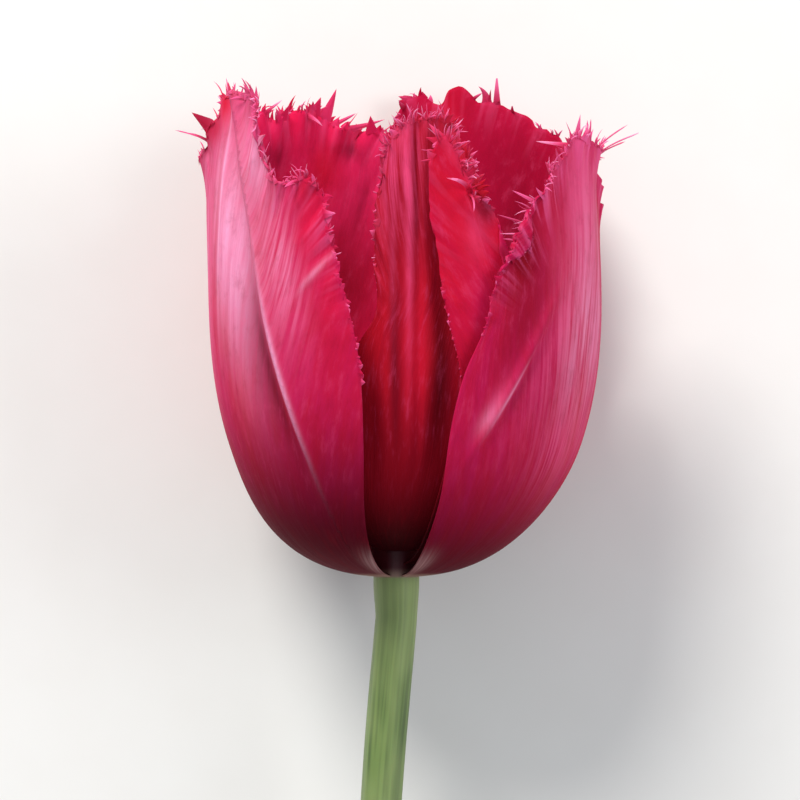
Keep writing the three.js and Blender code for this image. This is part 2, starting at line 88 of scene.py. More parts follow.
# The margins' random lines: their lengths, the widths of the lobes, nicks and
# pleats in them, and how steeply a ragged edge fades into the blade.
EDGE_LENGTH = 300
PLEAT_LENGTH = 400
LOBE_STEP = 3.4
NICK_STEP = 1.1
PLEAT_STEP = 5.0
EDGE_POWER = 16

# The pleats' two waves: height, waves along the rim and how far they stray.
PLEAT_WAVES = [(0.55, 0.95, 1.5), (0.3, 2.4, 2.5)]

# Random seeds: a petal's own, and what its inside's paint adds to it.
FIRST_SEED = 31
SEED_STEP = 7
INSIDE_SEED = 7

# The left petal's keel and the right petal's crease: where they start, in degrees
# and millimetres, and how many degrees they slant for each millimetre of height.
KEEL_AZIMUTH = -32
KEEL_HEIGHT = 15
KEEL_SLOPE = -0.53
CREASE_AZIMUTH = 27.5
CREASE_HEIGHT = 23
CREASE_SLOPE = 1.15

# How the flower lies.
BLOOM_TILT = 6.0
FLAT_SPOT_DEPTH = 0.45
STEM_LENGTH = 240.0
TABLE_SKIN = 0.02
LOW_LIMIT = np.array(CAD_BOX[0]) / MM + TABLE_SKIN
HIGH_LIMIT = np.array(CAD_BOX[1]) / MM - TABLE_SKIN

# The stem, the pistil and the stamens.
STEM_RADIUS_TOP = 2.85
STEM_RADIUS_END = 3.4
STEM_ROWS = 0.93
NECK_LENGTH = 6.0
RIB_COUNT = 9
RIB_HEIGHT = 0.035
RECEPTACLE_RADIUS = 3.8
RECEPTACLE_SHOULDER = 1.55
RECEPTACLE_TOP = 5.3
SEAT_GAP = 0.35
OVARY_HEIGHT = 13.0
OVARY_RADIUS = 3.0
STIGMA_RADIUS = 3.9
STIGMA_HEIGHT = 3.4
STAMEN_COUNT = 6
FILAMENT_HEIGHT = 6.0
FILAMENT_RADIUS = 0.55
ANTHER_LENGTH = 11.0
ANTHER_RADIUS = 1.3
STAMEN_CIRCLE = 3.05
STAMEN_LEAN = 12.0

# The leaves.
LEAF_THICKNESS = 0.9
CLASP_GAP = 0.6
CLASP_ANGLE = 55.0
CLASP_RISE = 34.0

FINE = 1.0
GRID_COLUMNS = round(104 * FINE)
GRID_ROWS = round(120 * FINE)


def smoothstep(x, low, high):
    share = np.clip((x - low) / (high - low), 0, 1)
    return share * share * (3 - 2 * share)


def mix(a, b, share):
    return a + (b - a) * share


def wall_table():
    """The cup's wall from the joint up, as lengths along it, radii and heights."""
    power = 2 / CUP_SQUARENESS
    angle = np.linspace(0, math.pi / 2, 2000)
    low_radius = CUP_RADIUS * np.sin(angle) ** power
    low_height = BELLY_HEIGHT * (1 - np.clip(np.cos(angle), 0, 1) ** power)
    rise = np.linspace(0, 1, 400)[1:]
    radius = np.concatenate([low_radius, CUP_RADIUS - LIP_DRAW_IN * rise ** 2])
    height = np.concatenate([low_height, mix(BELLY_HEIGHT, PROFILE_TOP, rise)])
    steps = np.hypot(np.diff(radius), np.diff(height))
    return np.concatenate([[0], np.cumsum(steps)]), radius, height


WALL_ARC, WALL_RADIUS, WALL_HEIGHT = wall_table()


def wall_at(along):
    return np.interp(along, WALL_ARC, WALL_RADIUS), np.interp(along, WALL_ARC, WALL_HEIGHT)


def arc_at_height(height):
    return np.interp(height, WALL_HEIGHT, WALL_ARC)


def wall_direction(along):
    before = wall_at(np.maximum(along - WALL_STEP, 0))
    after = wall_at(along + WALL_STEP)
    across, up = after[0] - before[0], after[1] - before[1]
    length = np.hypot(across, up)
    return across / length, up / length


def shared_wave(azimuth, height):
    angle = np.radians(azimuth)
    broad = np.sin(5 * angle + 0.05 * height)
    narrow = 0.6 * np.sin(11 * angle - 0.09 * height)
    return WAVE * smoothstep(height, 10, 70) * (broad + narrow)


def bloom_matrix():
    """The upright bloom is laid on its back so that its belly touches the table."""
    tilt = math.radians(BLOOM_TILT)
    height = np.arange(10, 70.01, 0.25)
    radius = wall_at(arc_at_height(height))[0] + shared_wave(180, height)
    z = height * math.sin(tilt) - radius * math.cos(tilt)
    lowest = int(np.argmin(z))
    y = height[lowest] * math.cos(tilt) + radius[lowest] * math.sin(tilt)
    turn = Matrix.Rotation(tilt - math.pi / 2, 4, "X")
    return Matrix.Translation((0, -y, -z[lowest] - FLAT_SPOT_DEPTH)) @ turn


BLOOM = bloom_matrix()
BLOOM_TURN = np.array(BLOOM.to_3x3())
BLOOM_PLACE = np.array(BLOOM.translation)


def to_row(points):
    """Points of the upright bloom, in millimetres, as points of the lying flower."""
    return points @ BLOOM_TURN.T + BLOOM_PLACE


def on_cup(around, along, depth):
    """A point of the cup from its place on the unrolled wall and its depth in it."""
    azimuth = around / MM_PER_DEGREE
    wall_radius, wall_height = wall_at(along)
    out_way, up_way = wall_direction(along)
    inward = depth - shared_wave(azimuth, wall_height)
    radius = wall_radius - inward * up_way
    height = np.minimum(wall_height + inward * out_way, HIGHEST)
    centre = -CUP_LEAN * (1 - smoothstep(wall_height, 0, 20))
    angle = np.radians(azimuth)
    upright = np.stack([radius * np.sin(angle) + centre, -radius * np.cos(angle), height], axis=-1)
    return np.clip(to_row(upright), LOW_LIMIT, HIGH_LIMIT)


def unit(vectors):
    return vectors / (np.linalg.norm(vectors, axis=-1, keepdims=True) + 1e-9)


def reach_along(line):
    """The distance along a line at each of its points."""
    return np.concatenate([[0], np.cumsum(np.linalg.norm(np.diff(line, axis=0), axis=1))])


def even_line(line):
    """A line as a function of the share of its length."""
    reach = reach_along(line)

    def at(part):
        place = np.asarray(part) * reach[-1]
        return np.stack([np.interp(place, reach, line[:, k]) for k in range(line.shape[1])], axis=-1)

    return at


def cubic_line(padded, headings, samples):
    """Cubic stretches through points. The first and last only steer the line's ends."""
    share = np.linspace(0, 1, samples, endpoint=False)[:, None]
    stretches = []
    for before, start, end, after in zip(padded, padded[1:], padded[2:], padded[3:]):
        leave, arrive = headings(before, start, end, after)
        cubic = 2 * start - 2 * end + leave + arrive
        square = -3 * start + 3 * end - 2 * leave - arrive
        stretches.append(cubic * share ** 3 + square * share ** 2 + leave * share + start)
    return even_line(np.vstack([*stretches, padded[-2:-1]]))


def plain_headings(before, start, end, after):
    return (end - before) / 2, (after - start) / 2


def smooth_line(points, samples=40):
    points = np.asarray(points, float)
    return cubic_line(np.vstack([points[:1], points, points[-1:]]), plain_headings, samples)


def outline_edge(points, root):
    flat = []
    for azimuth, height in points:
        along = root if height is None else float(arc_at_height(height))
        flat.append((azimuth * MM_PER_DEGREE, along))
    return smooth_line(flat)


def petal_patch(petal, u, v):
    """Places on the unrolled wall for shares u across and v along a petal."""
    root = OUTER_ROOT if petal["layer"] == 0 else INNER_ROOT
    left = outline_edge(petal["left"], root)
    right = outline_edge(petal["right"], root)
    top = outline_edge([petal["left"][-1], *petal["top"], petal["right"][-1]], root)
    wide, long = u[..., None], v[..., None]
    base = mix(left(0.0), right(0.0), wide)
    shoulders = mix(left(1.0), right(1.0), wide)
    between = mix(left(v), right(v), wide)
    return mix(base, top(u), long) + between - mix(base, shoulders, long)


def ridge(azimuth, at, width, height):
    return height * np.exp(-(((azimuth - at) / width) ** 2))


def faint_midrib(azimuth, height):
    return ridge(azimuth, 172, 5, 0.3) * smoothstep(height, 15, 40)


def keel_line(height):
    return KEEL_AZIMUTH + KEEL_SLOPE * (height - KEEL_HEIGHT)


def keel_of_left_petal(azimuth, height):
    keel = keel_line(height)
    fade = smoothstep(height, 8, 22)
    fold = ridge(azimuth, keel, 2.0, 0.75) + ridge(azimuth, keel - 5, 4.5, -0.75)
    flap = ridge(azimuth, keel + 11, 6, -0.45) * smoothstep(height, 20, 45)
    margin_fold = ridge(azimuth, -66, 2.2, 0.35) * smoothstep(height, 30, 50)
    roll = ridge(azimuth - 2.4 * (height - 44.8), -28, 2.2, 0.2) * ridge(azimuth, -28, 5, 1)
    return fade * (fold + flap + margin_fold + roll)


def crease_of_right_petal(azimuth, height):
    crease = CREASE_AZIMUTH + CREASE_SLOPE * (height - CREASE_HEIGHT)
    fade = smoothstep(height, 14, 24) * (1 - smoothstep(height, 35, 46))
    back = ridge(azimuth, 72 - 0.1 * height, 7, -0.4) * smoothstep(height, 20, 40)
    return fade * (ridge(azimuth, crease, 1.8, 0.5) + ridge(azimuth, crease + 4, 3, -0.2)) + back


def midrib_of_front_petal(azimuth, height):
    fade = smoothstep(height, 10, 25)
    groove = ridge(azimuth, -3.2, 1.6, -0.35) + ridge(azimuth, 4.6, 1.3, -0.3)
    left_side = 0.9 * (1 - smoothstep(azimuth, -13, -6))
    right_side = 0.9 * smoothstep(azimuth, 6, 13)
    return fade * (ridge(azimuth, 1, 2.4, 0.75) + groove - left_side - right_side)


def rgb(red, green, blue):
    """A colour as seen on screen, 0 to 255, in the shader's linear values."""
    def linear(value):
        value = value / 255
        return value / 12.92 if value <= 0.04045 else ((value + 0.055) / 1.055) ** 2.4
    return linear(red), linear(green), linear(blue)


# Pale silvery pink: partly the petals' own pale bloom, partly painted sheen.
BLOOM_AND_SHEEN_PINK = rgb(244, 162, 200)
ROSE = rgb(228, 76, 126)
MAGENTA = rgb(190, 26, 80)
CRIMSON = rgb(188, 22, 58)
BRIGHT_RED = rgb(206, 22, 52)
LOBE_RED = rgb(206, 24, 66)
DEEP_RED = rgb(136, 12, 28)
MAROON = rgb(84, 10, 26)
BLACK_RED = rgb(54, 8, 14)
JOINT_PALE = rgb(150, 118, 104)
JOINT_STREAK = rgb(196, 156, 154)
# Pale pinks for the painted highlight on the pleats and for the fringe's tips, which are partly their own
# pale colour and partly painted light shining through them.
PALE_TIP_AND_HIGHLIGHT_PINK = rgb(240, 96, 152)
WHITE_TIP_AND_GLOW = rgb(248, 170, 210)

# Feet: colours that darken a petal towards its base, partly its own dark base and partly painted shade deep
# in the cup; the outer ones end in the pale joint.
INNER_DARK_BASE_AND_SHADE = [(DEEP_RED, 14, 40), (BLACK_RED, 0, 17)]
OUTER_DARK_BASE_AND_SHADE = [(MAROON, 4, 30), (JOINT_PALE, 0.1, 0.8)]
RIGHT_DARK_BASE_AND_SHADE = [(MAROON, 0, 22), (JOINT_PALE, 0.1, 0.8)]
PETAL_FIELDS = ("grain", "azimuth", "height", "rim", "pleat", "tip", "chance")


def paint(body, foot, marks=(), touches=()):
    """The colours of a petal's side. Its foot darkens it towards the base, partly its own dark base and
    partly painted shade. Touches are marks that go on over the painted highlight on the pleats.
    """
    return {"body": body, "foot": foot, "marks": marks, "touches": touches}


PLAIN_INSIDE = paint((CRIMSON, MAGENTA), INNER_DARK_BASE_AND_SHADE)

# Each petal's outline has azimuths in degrees, 0 at the front and growing towards
# the right, and heights in millimetres, where None is the petal's root. The side
# that is seen gives the fringe its colours. Of the margin's values, the first says
# how strongly the crests of its pleats are painted pale as a highlight, and pleats
# and lobes say how pleated and how ragged it is; bend is the range for random hairs.
# A spike is a long tooth: azimuth, height, length, width, curl, lean along the rim,
# and how far it bends out of the cup (-1) or into it (1). A tuft is a clump of
# hairs: azimuth, height, spread along the rim, count, length, width, curl, bend.
# A bare zone, where the margin has no fringe, is two azimuths and two heights.
#
# A mark of paint is a colour, its azimuth and height, its width in degrees, its
# length in millimetres, its slant in degrees per millimetre of height, its strength
# and how streaky it is.
OUTER_LEFT = {
    "name": "petal_outer_left", "seen": "outside", "layer": 0, "relief": keel_of_left_petal,
    "left": [(-122, None), (-124, 12), (-124, 32), (-116, 48), (-100, 60)],
    "top": [
        (-88, 65), (-83, 66.6), (-78, 68.3), (-73, 71), (-67, 72), (-61, 72.2), (-55, 71.2),
        (-50, 69.3), (-48.5, 64.5), (-46, 61), (-38, 58.9),
    ],
    "right": [(-15, None), (-14.5, 10), (-13, 27), (-15, 37), (-20.5, 48), (-22.5, 55), (-29, 59.5)],
    "barbs": keel_line,
    "pleat_highlight": 0.45, "pleats": 1, "lobes": 0.7, "bend": (-0.8, 0.2), "hair_spacing": 2.2,
    "bare": [],
    "spikes": [
        (-86, 65.8, 5.6, 1.2, 1.6, -0.1, -1), (-79, 68.2, 3.1, 3.4, 0.8, -0.2, -1),
        (-84.5, 66.2, 2.8, 1, 1.2, 0.3, -1), (-70, 71.8, 2, 2.4, 0.3, -0.1, -0.5),
        (-56, 71.5, 2.2, 1.2, 2, 0.2, -0.9), (-33, 59.5, 2.6, 0.8, 2, 0.3, -0.8),
    ],
    "tufts": [(-50.5, 69.6, 2.8, 26, 2.4, 0.7, 2.3, -0.9), (-31, 59.3, 1.8, 14, 2.6, 0.5, 2.2, -0.8)],
    "outside": paint((CRIMSON, MAGENTA), OUTER_DARK_BASE_AND_SHADE, [
        (ROSE, -82, 46, 12, 20, 0, 0.8, 0.3),
        # Silvery-pink marks on this side: partly the petal's own pale bloom, partly painted sheen.
        (BLOOM_AND_SHEEN_PINK, -62, 51, 11, 19, -0.35, 1, 0.35),
        (ROSE, -60, 68, 11, 6, 0, 0.45, 0.5),
        (BLOOM_AND_SHEEN_PINK, -86, 46, 7, 18, 0, 0.6, 0.8),
        (BLOOM_AND_SHEEN_PINK, -50, 63, 6, 8, -0.3, 0.8, 0.6),
        # Painted highlight along the fold near the left margin.
        (BLOOM_AND_SHEEN_PINK, -67.3, 56.5, 0.9, 15, 0.12, 0.8, 0),
        (CRIMSON, -71, 50, 1.6, 18, 0.12, 0.5, 0.5),
        (ROSE, -36, 46, 9, 12, -0.2, 0.6, 0.5),
        (BLOOM_AND_SHEEN_PINK, -40, 47, 7, 9, -0.3, 0.45, 1),
        # Painted shade left of the keel, then a painted highlight along its ridge.
        (MAROON, -48, 31, 5.5, 13, -0.5, 0.45, 0.4),
        (MAROON, -45.3, 31, 2.4, 14, -0.53, 0.7, 0.2),
        (BLOOM_AND_SHEEN_PINK, -40.4, 31, 1, 14, -0.53, 0.9, 0.1),
        (LOBE_RED, -27.5, 51.5, 5.5, 6, 0, 1, 0),
        (LOBE_RED, -21.5, 41, 4, 4, 0, 0.8, 0),
        (CRIMSON, -22, 34, 5, 7, 0, 0.6, 0),
        # Painted highlight where the flap's margin rolls over.
        (BLOOM_AND_SHEEN_PINK, -27, 45.2, 1.4, 2.6, 2, 0.5, 0.4),
        (MAGENTA, -50, 69.5, 4.5, 4, 0, 0.8, 0.2),
    ], [
        (JOINT_STREAK, -16, 2, 7, 1.8, 0, 0.55, 0.7),
        (CRIMSON, -81, 67.2, 9, 2.8, 0, 1, 0),
        (BRIGHT_RED, -71.5, 70.8, 4, 3, 0, 0.9, 0),
    ]),
    "inside": PLAIN_INSIDE,
}
OUTER_RIGHT = {
    "name": "petal_outer_right", "seen": "outside", "layer": 0, "relief": crease_of_right_petal,
    "left": [
        (13.5, None), (14.5, 9), (14, 20), (17.3, 29.6), (23.5, 37), (26.5, 43), (31, 46.5), (38, 49),
    ],
    "top": [
        (40, 54), (41, 56.5), (44.5, 58.8), (53, 62.9), (58.5, 65.2), (66, 65.8), (76, 65), (86, 61),
    ],
    "right": [(111, None), (112, 12), (112, 32), (109, 46), (101, 56)],
    "pleat_highlight": 0.6, "pleats": 0.9, "lobes": 1, "bend": (-0.8, 0.2), "hair_spacing": 1.8,
    "bare": [(0, 24, 0, 36), (85, 112, 40, 61.5)],
    "spikes": [
        (78, 64.9, 5.4, 0.45, 1.15, 0.1, -1), (80, 64.3, 7.2, 0.4, 1.45, 0.1, -1),
        (81.5, 63.6, 4, 2.4, 1.4, 0.1, -1), (60.5, 65.4, 3.2, 2, 0.3, -0.1, -0.2),
        (62.5, 65.5, 2.4, 2, 0.3, -0.1, -0.2), (70, 65.8, 3.5, 2, 0.2, 0.1, -0.2),
        (72, 65.7, 2.6, 2, 0.2, 0.1, -0.2), (56.5, 64.4, 5.2, 0.8, 0.9, -1.2, 1),
        (47, 60.2, 3.4, 0.6, 0.9, -0.5, -0.6),
        (40.5, 56, 3.8, 0.7, 0.4, -0.2, 0.5), (39, 52.5, 5.4, 0.5, 0.4, -0.1, 0.5),
        (38.5, 51, 4.8, 0.45, 0.4, -0.4, 0.5), (38, 49.5, 4.2, 0.6, 0.5, 0.3, 0.5),
    ],
    "tufts": [
        (59, 65, 2.6, 14, 2, 0.5, 1.2, -0.6), (46, 59.6, 2.6, 14, 2.4, 0.5, 2.2, -0.9),
        (39.5, 53, 2.4, 9, 3, 0.4, 0.9, 0.4), (82, 63.2, 1.2, 9, 3.2, 0.7, 1.5, -1),
    ],
    "outside": paint((CRIMSON, MAGENTA), RIGHT_DARK_BASE_AND_SHADE, [
        (ROSE, 63, 58, 13, 15, 0, 1, 0.2),
        # Silvery-pink marks on this side: partly the petal's own pale bloom, partly painted sheen.
        (BLOOM_AND_SHEEN_PINK, 69, 38, 14, 16, 0, 0.6, 0.9),
        # Painted sheen along the right edge, where the petal turns away.
        (BLOOM_AND_SHEEN_PINK, 80, 48, 2.2, 18, 0, 0.4, 0.3),
        # Painted shade over the petal's left part, beside the crease.
        (DEEP_RED, 36.5, 47, 8, 8, 0.3, 0.9, 0),
        (DEEP_RED, 46, 24, 12, 14, 0, 0.3, 0.4),
        # Painted shade over the petal's left part, along the crease.
        (DEEP_RED, 37, 38, 7, 9, 1.1, 0.6, 0.2),
        (ROSE, 52, 36, 7, 13, 1, 0.6, 0.9),
        (BLOOM_AND_SHEEN_PINK, 61, 34, 9, 13, 0.3, 0.3, 1),
        (ROSE, 28.5, 26, 3, 3.6, 1, 0.6, 0.3),
        # Painted shade right of the crease, a painted highlight along it and a painted highlight on the
        # fold's pale triangle.
        (MAROON, 37, 28, 2.4, 5, 1.2, 0.25, 0),
        (BLOOM_AND_SHEEN_PINK, 33.2, 27.4, 0.7, 4, 1.2, 0.5, 0.1),
        (BLOOM_AND_SHEEN_PINK, 26.5, 24, 2.6, 2.2, 1, 0.3, 0.3),
        (ROSE, 58, 20, 16, 9, 0, 0.5, 1),
        (CRIMSON, 48, 57, 6, 8, 0.4, 0.7, 0.2),
    ], [
        (JOINT_STREAK, 17, 2, 7, 1.8, 0, 0.55, 0.7),
    ]),
    "inside": PLAIN_INSIDE,
}
OUTER_BACK = {
    "name": "petal_outer_back", "seen": "inside", "layer": 0, "relief": faint_midrib,
    "left": [(119, None), (118, 12), (117.5, 34), (118, 48), (121, 58)],
    "top": [
        (126.5, 65.3), (132.7, 67), (138.3, 68.5), (142.6, 70.5), (152, 71.9), (157, 72.2),
        (163.5, 74.4), (169.3, 71.8), (175, 73), (179.5, 71.5), (181, 67),
    ],
    "right": [(224, None), (224, 12), (224, 34), (212, 51), (189, 62)],
    "pleat_highlight": 0.15, "pleats": 0.35, "lobes": 0.6, "bend": (-0.6, 0.6), "hair_spacing": 9,
    "bare": [(125, 150, 62, 80), (155, 172, 70, 80)],
    "spikes": [
        (150, 71.8, 5, 1.4, 0.15, 0.4, 0.1), (145, 70.6, 2, 0.9, 1, 0.3, 0.5),
        (156, 74, 2, 0.7, 0.6, 0.2, 0.2), (177, 71, 2.4, 1.2, 1.2, 0.3, 0.4),
    ],
    "tufts": [(134, 66.5, 2.5, 7, 1.6, 0.7, 1.2, 0.2), (178, 70, 1.5, 5, 1.8, 0.6, 1.4, 0.3)],
    "outside": paint((CRIMSON, MAGENTA), OUTER_DARK_BASE_AND_SHADE, [
        (ROSE, 170, 46, 40, 24, 0, 0.7, 0.6),
        # Silvery pink: partly the petal's own pale bloom, partly painted sheen.
        (BLOOM_AND_SHEEN_PINK, 172, 52, 14, 22, 0, 0.5, 0.8),
    ]),
    # Inside, a crimson darker than the other petals' insides: painted shade, as this side lies in shadow.
    "inside": paint((rgb(176, 18, 58), rgb(160, 14, 50)), INNER_DARK_BASE_AND_SHADE, [
        (BRIGHT_RED, 166, 71, 6, 5, 0, 0.6, 0),
        # Painted shadow on the far inside, seen past the front petals' edges.
        (MAROON, 144, 50, 8, 9, 0, 0.5, 0),
    ]),
}
INNER_LEFT = {
    "name": "petal_inner_left", "seen": "inside", "layer": 1, "relief": faint_midrib,
    "left": [(168, None), (166, 12), (164, 30), (168, 46), (178, 58)],
    "top": [(184, 65), (192, 68.5), (203, 69.5), (213, 69.5), (224, 70.5), (233, 71), (241, 68.5)],
    "right": [(285, None), (285, 12), (284, 30), (272, 48), (250, 60)],
    "pleat_highlight": 0.25, "pleats": 1.5, "lobes": 1.6, "bend": (-0.2, 0.9), "hair_spacing": 4,
    "bare": [],
    "spikes": [
        (209, 69.5, 4.8, 2.6, 0.45, -0.2, 0.1), (213, 70, 2.6, 3, 0.4, 0.2, 0.3),
        (218, 70, 3.2, 0.8, 2.4, 0.3, 1), (204, 69.3, 4.2, 0.9, 0.4, -1.1, 0.2),
        (198, 68.8, 6.2, 1.2, 0.4, -1.5, 0.2), (192, 68, 2.6, 2.4, 0.5, 0.5, 0.3),
        (229, 70, 2.4, 2.8, 0.6, -0.2, 0.6), (237, 70, 3.8, 0.8, 0.4, -1.4, 0.2),
    ],
    "tufts": [(222, 70.5, 3, 7, 1.8, 0.8, 1.6, 0.6)],
    "outside": paint((BRIGHT_RED, CRIMSON), INNER_DARK_BASE_AND_SHADE, [
        (ROSE, 230, 45, 30, 22, 0, 0.5, 0.7),
    ]),
    "inside": paint((rgb(232, 40, 98), rgb(214, 28, 78)), INNER_DARK_BASE_AND_SHADE, [
        # Painted shadow in the hollow behind the front petal.
        (MAROON, 195, 56, 7, 8, 0, 0.5, 0.6),
        (DEEP_RED, 200, 44, 14, 9, 0, 0.8, 0),
        # Painted shade under and between the crumpled lobes at the top, with a painted highlight on one lobe.
        (MAROON, 231, 63.5, 6, 2.4, 0, 0.6, 0.3),
        (DEEP_RED, 222, 56, 10, 4, 0, 0.6, 0.2),
        (BRIGHT_RED, 209, 62, 7, 4.5, 0, 0.8, 0),
        (MAROON, 198, 64.8, 4, 1.6, 0, 0.6, 0),
    ]),
}
INNER_RIGHT = {
    "name": "petal_inner_right", "seen": "outside", "layer": 1, "relief": faint_midrib,
    "left": [(16, None), (15, 10), (16, 21), (17.5, 30), (13.5, 38), (10.5, 45), (8, 54), (7.5, 60)],
    "top": [
        (9.5, 64), (14, 65.8), (18.5, 63), (21, 57.5), (27, 55.5), (30, 52), (31, 47), (38, 44.5),
        (70, 47),
    ],
    "right": [(125, None), (126, 12), (126, 27), (120, 38), (104, 45)],
    "pleat_highlight": 0.1, "pleats": 0.4, "lobes": 0.6, "bend": (-0.9, 0.3), "hair_spacing": 2.4,
    "bare": [(5, 12, 44, 62), (24, 40, 30, 54)],
    "spikes": [
        (11, 65, 4, 0.4, 0.9, -0.2, -0.6), (16, 65, 4.2, 0.4, 1.2, 0.5, -0.6),
        (20, 61, 4.8, 0.6, 1.8, 0.3, -1), (21, 57.5, 6.4, 0.9, 2.6, 0.2, -1),
        (21.5, 57, 5.4, 0.6, 2.2, -0.4, -1), (23, 56.5, 4.2, 0.5, 1.8, 0.5, -1),
    ],
    "tufts": [(15, 65, 2.5, 8, 3, 0.4, 1.6, -0.7), (20.5, 60, 1.6, 8, 3.4, 0.5, 2.6, -1)],
    # Its foot darkens towards the base, partly its own dark base and partly painted shade deep in the cup.
    "outside": paint((rgb(196, 20, 48), rgb(188, 18, 56)), [(DEEP_RED, 18, 38), (BLACK_RED, 2, 22)], [
        (ROSE, 23, 51, 3.5, 4, 0, 0.3, 0),
        (MAGENTA, 25, 40, 5, 6, 0, 0.6, 0),
        # Painted shadow in the dark hollow at the top corner.
        (MAROON, 27, 55.5, 3.5, 2.6, 0, 0.85, 0),
    ]),
    "inside": PLAIN_INSIDE,
}
INNER_FRONT = {
    "name": "petal_inner_front", "seen": "outside", "layer": 2, "relief": midrib_of_front_petal,
    "left": [
        (-27, None), (-26, 12), (-24, 24), (-18, 33), (-9.5, 40), (-10.5, 50), (-10, 58), (-8, 63),
    ],
    "top": [(-3, 66.5), (4, 68), (12, 69), (19, 67)],
    "right": [(30, None), (31, 20), (33, 40), (31, 54), (25, 62)],
    "pleat_highlight": 0.1, "pleats": 0.8, "lobes": 0.7, "bend": (-0.8, 0.5), "hair_spacing": 2.6,
    "bare": [(-30, -8.5, 30, 41)],
    "spikes": [
        (-6, 64.5, 3.6, 0.4, 1.4, -0.5, -0.8), (-1, 67, 3.2, 0.5, 1, 0.2, -0.5),
        (3, 68, 3.2, 0.5, 0.6, 0.3, -0.3), (8, 68.7, 3, 0.5, 1.6, -0.3, -0.8),
        (-9, 60, 2.8, 0.4, 1.6, -0.4, -0.8),
    ],
    "tufts": [
        (-3, 66.5, 3.5, 18, 2.8, 0.35, 1.6, -0.7), (6, 68.5, 3.5, 16, 2.6, 0.35, 1.6, -0.7),
        (17.5, 67.4, 1.6, 10, 3.2, 0.5, 0.8, -0.3),
    ],
    # Its foot darkens towards the base, partly its own dark base and partly painted shade deep in the cup.
    "outside": paint((rgb(192, 22, 42), rgb(172, 20, 44)), [(DEEP_RED, 10, 36), (BLACK_RED, 0, 15)], [
        (DEEP_RED, 0, 54, 14, 12, 0, 0.75, 0),
        (ROSE, -2, 62, 9, 9, 0, 0.8, 1),
        (ROSE, -4, 50, 1, 14, 0, 0.4, 0.7),
        # Painted highlight along the raised midrib, pale pink above and bright red lower down.
        (ROSE, 1.5, 48, 1.3, 18, 0, 0.55, 0.3),
        (BRIGHT_RED, 3.5, 24, 3.2, 18, 0, 0.8, 0.1),
        # Painted shade in the recess right of the midrib, in the groove left of it, over the recessed left
        # side and deep in the cup at the bottom.
        (BLACK_RED, 12.6, 22, 3.8, 26, 0, 0.9, 0),
        (MAROON, -3.4, 22, 2, 24, 0, 0.8, 0.2),
        (DEEP_RED, -15, 28, 8, 26, 0, 0.6, 0),
        (BLACK_RED, -5, 8, 6, 8, 0, 0.6, 0),
    ]),
    "inside": PLAIN_INSIDE,
}
PETALS = [OUTER_LEFT, OUTER_RIGHT, OUTER_BACK, INNER_LEFT, INNER_RIGHT, INNER_FRONT]


# Modelling helpers.
def deselect_all():
    for item in bpy.context.selected_objects:
        item.select_set(False)


def activate(item):
    deselect_all()
    item.select_set(True)
    bpy.context.view_layer.objects.active = item


def apply_modifier(item, kind, **settings):
    activate(item)
    modifier = item.modifiers.new(kind.title(), kind)
    for name, value in settings.items():
        setattr(modifier, name, value)
    bpy.ops.object.modifier_apply(modifier=modifier.name)


def set_attribute(mesh, name, values):
    attribute = mesh.attributes.new(name, "FLOAT", "POINT")
    attribute.data.foreach_set("value", np.asarray(values, float).ravel())


def shade_smooth(item):
    item.data.polygons.foreach_set("use_smooth", [True] * len(item.data.polygons))


def grid_sheet(name, columns, rows, points, attributes):
    """A grid primitive whose points, numbered row by row, are moved into a shape."""
    deselect_all()
    bpy.ops.mesh.primitive_grid_add(x_subdivisions=columns, y_subdivisions=rows, size=1)
    item = bpy.context.object
    item.name = name
    item.data.name = name
    item.data.vertices.foreach_set("co", (np.asarray(points) * MM).ravel())
    item.data.update()
    for key, values in attributes.items():
        set_attribute(item.data, key, values)
    return item


def grid_shares(columns, rows):
    return np.meshgrid(np.linspace(0, 1, columns + 1), np.linspace(0, 1, rows + 1))


def tube(name, around, rows, shape):
    """A closed skin: a grid rolled up until its sides meet, with its ends filled.

    shape takes the shares round and along, and gives points and attributes.
    """
    turn, along = grid_shares(around, rows)
    points, attributes = shape(turn, along)
    item = grid_sheet(name, around, rows, points, {"turn": turn, "along": along, **attributes})
    activate(item)
    bpy.ops.object.mode_set(mode="EDIT")
    bpy.ops.mesh.select_all(action="SELECT")
    bpy.ops.mesh.remove_doubles(threshold=0.01 * MM)
    bpy.ops.mesh.fill_holes(sides=0)
    bpy.ops.mesh.select_all(action="SELECT")
    bpy.ops.mesh.normals_make_consistent(inside=False)
    bpy.ops.object.mode_set(mode="OBJECT")
    shade_smooth(item)
    return item


def dress(item, node, slot, *materials):
    for material in materials:
        item.data.materials.append(material)
    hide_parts(node)
    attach(item, "root")


def ragged_line(rng, length, step):
    """Random pointed steps along a line, from -1 to 1, as a function of the distance."""
    knots = np.arange(-2 * step, length + 2 * step, step)
    values = rng.uniform(-1, 1, len(knots))
    return lambda distance: np.interp(distance, knots, values)


def edge_ways(line):
    """The length along a line at each of its points, and the way square to it."""
    steps = np.gradient(line, axis=0)
    return reach_along(line), unit(np.stack([-steps[:, 1], steps[:, 0]], axis=1))


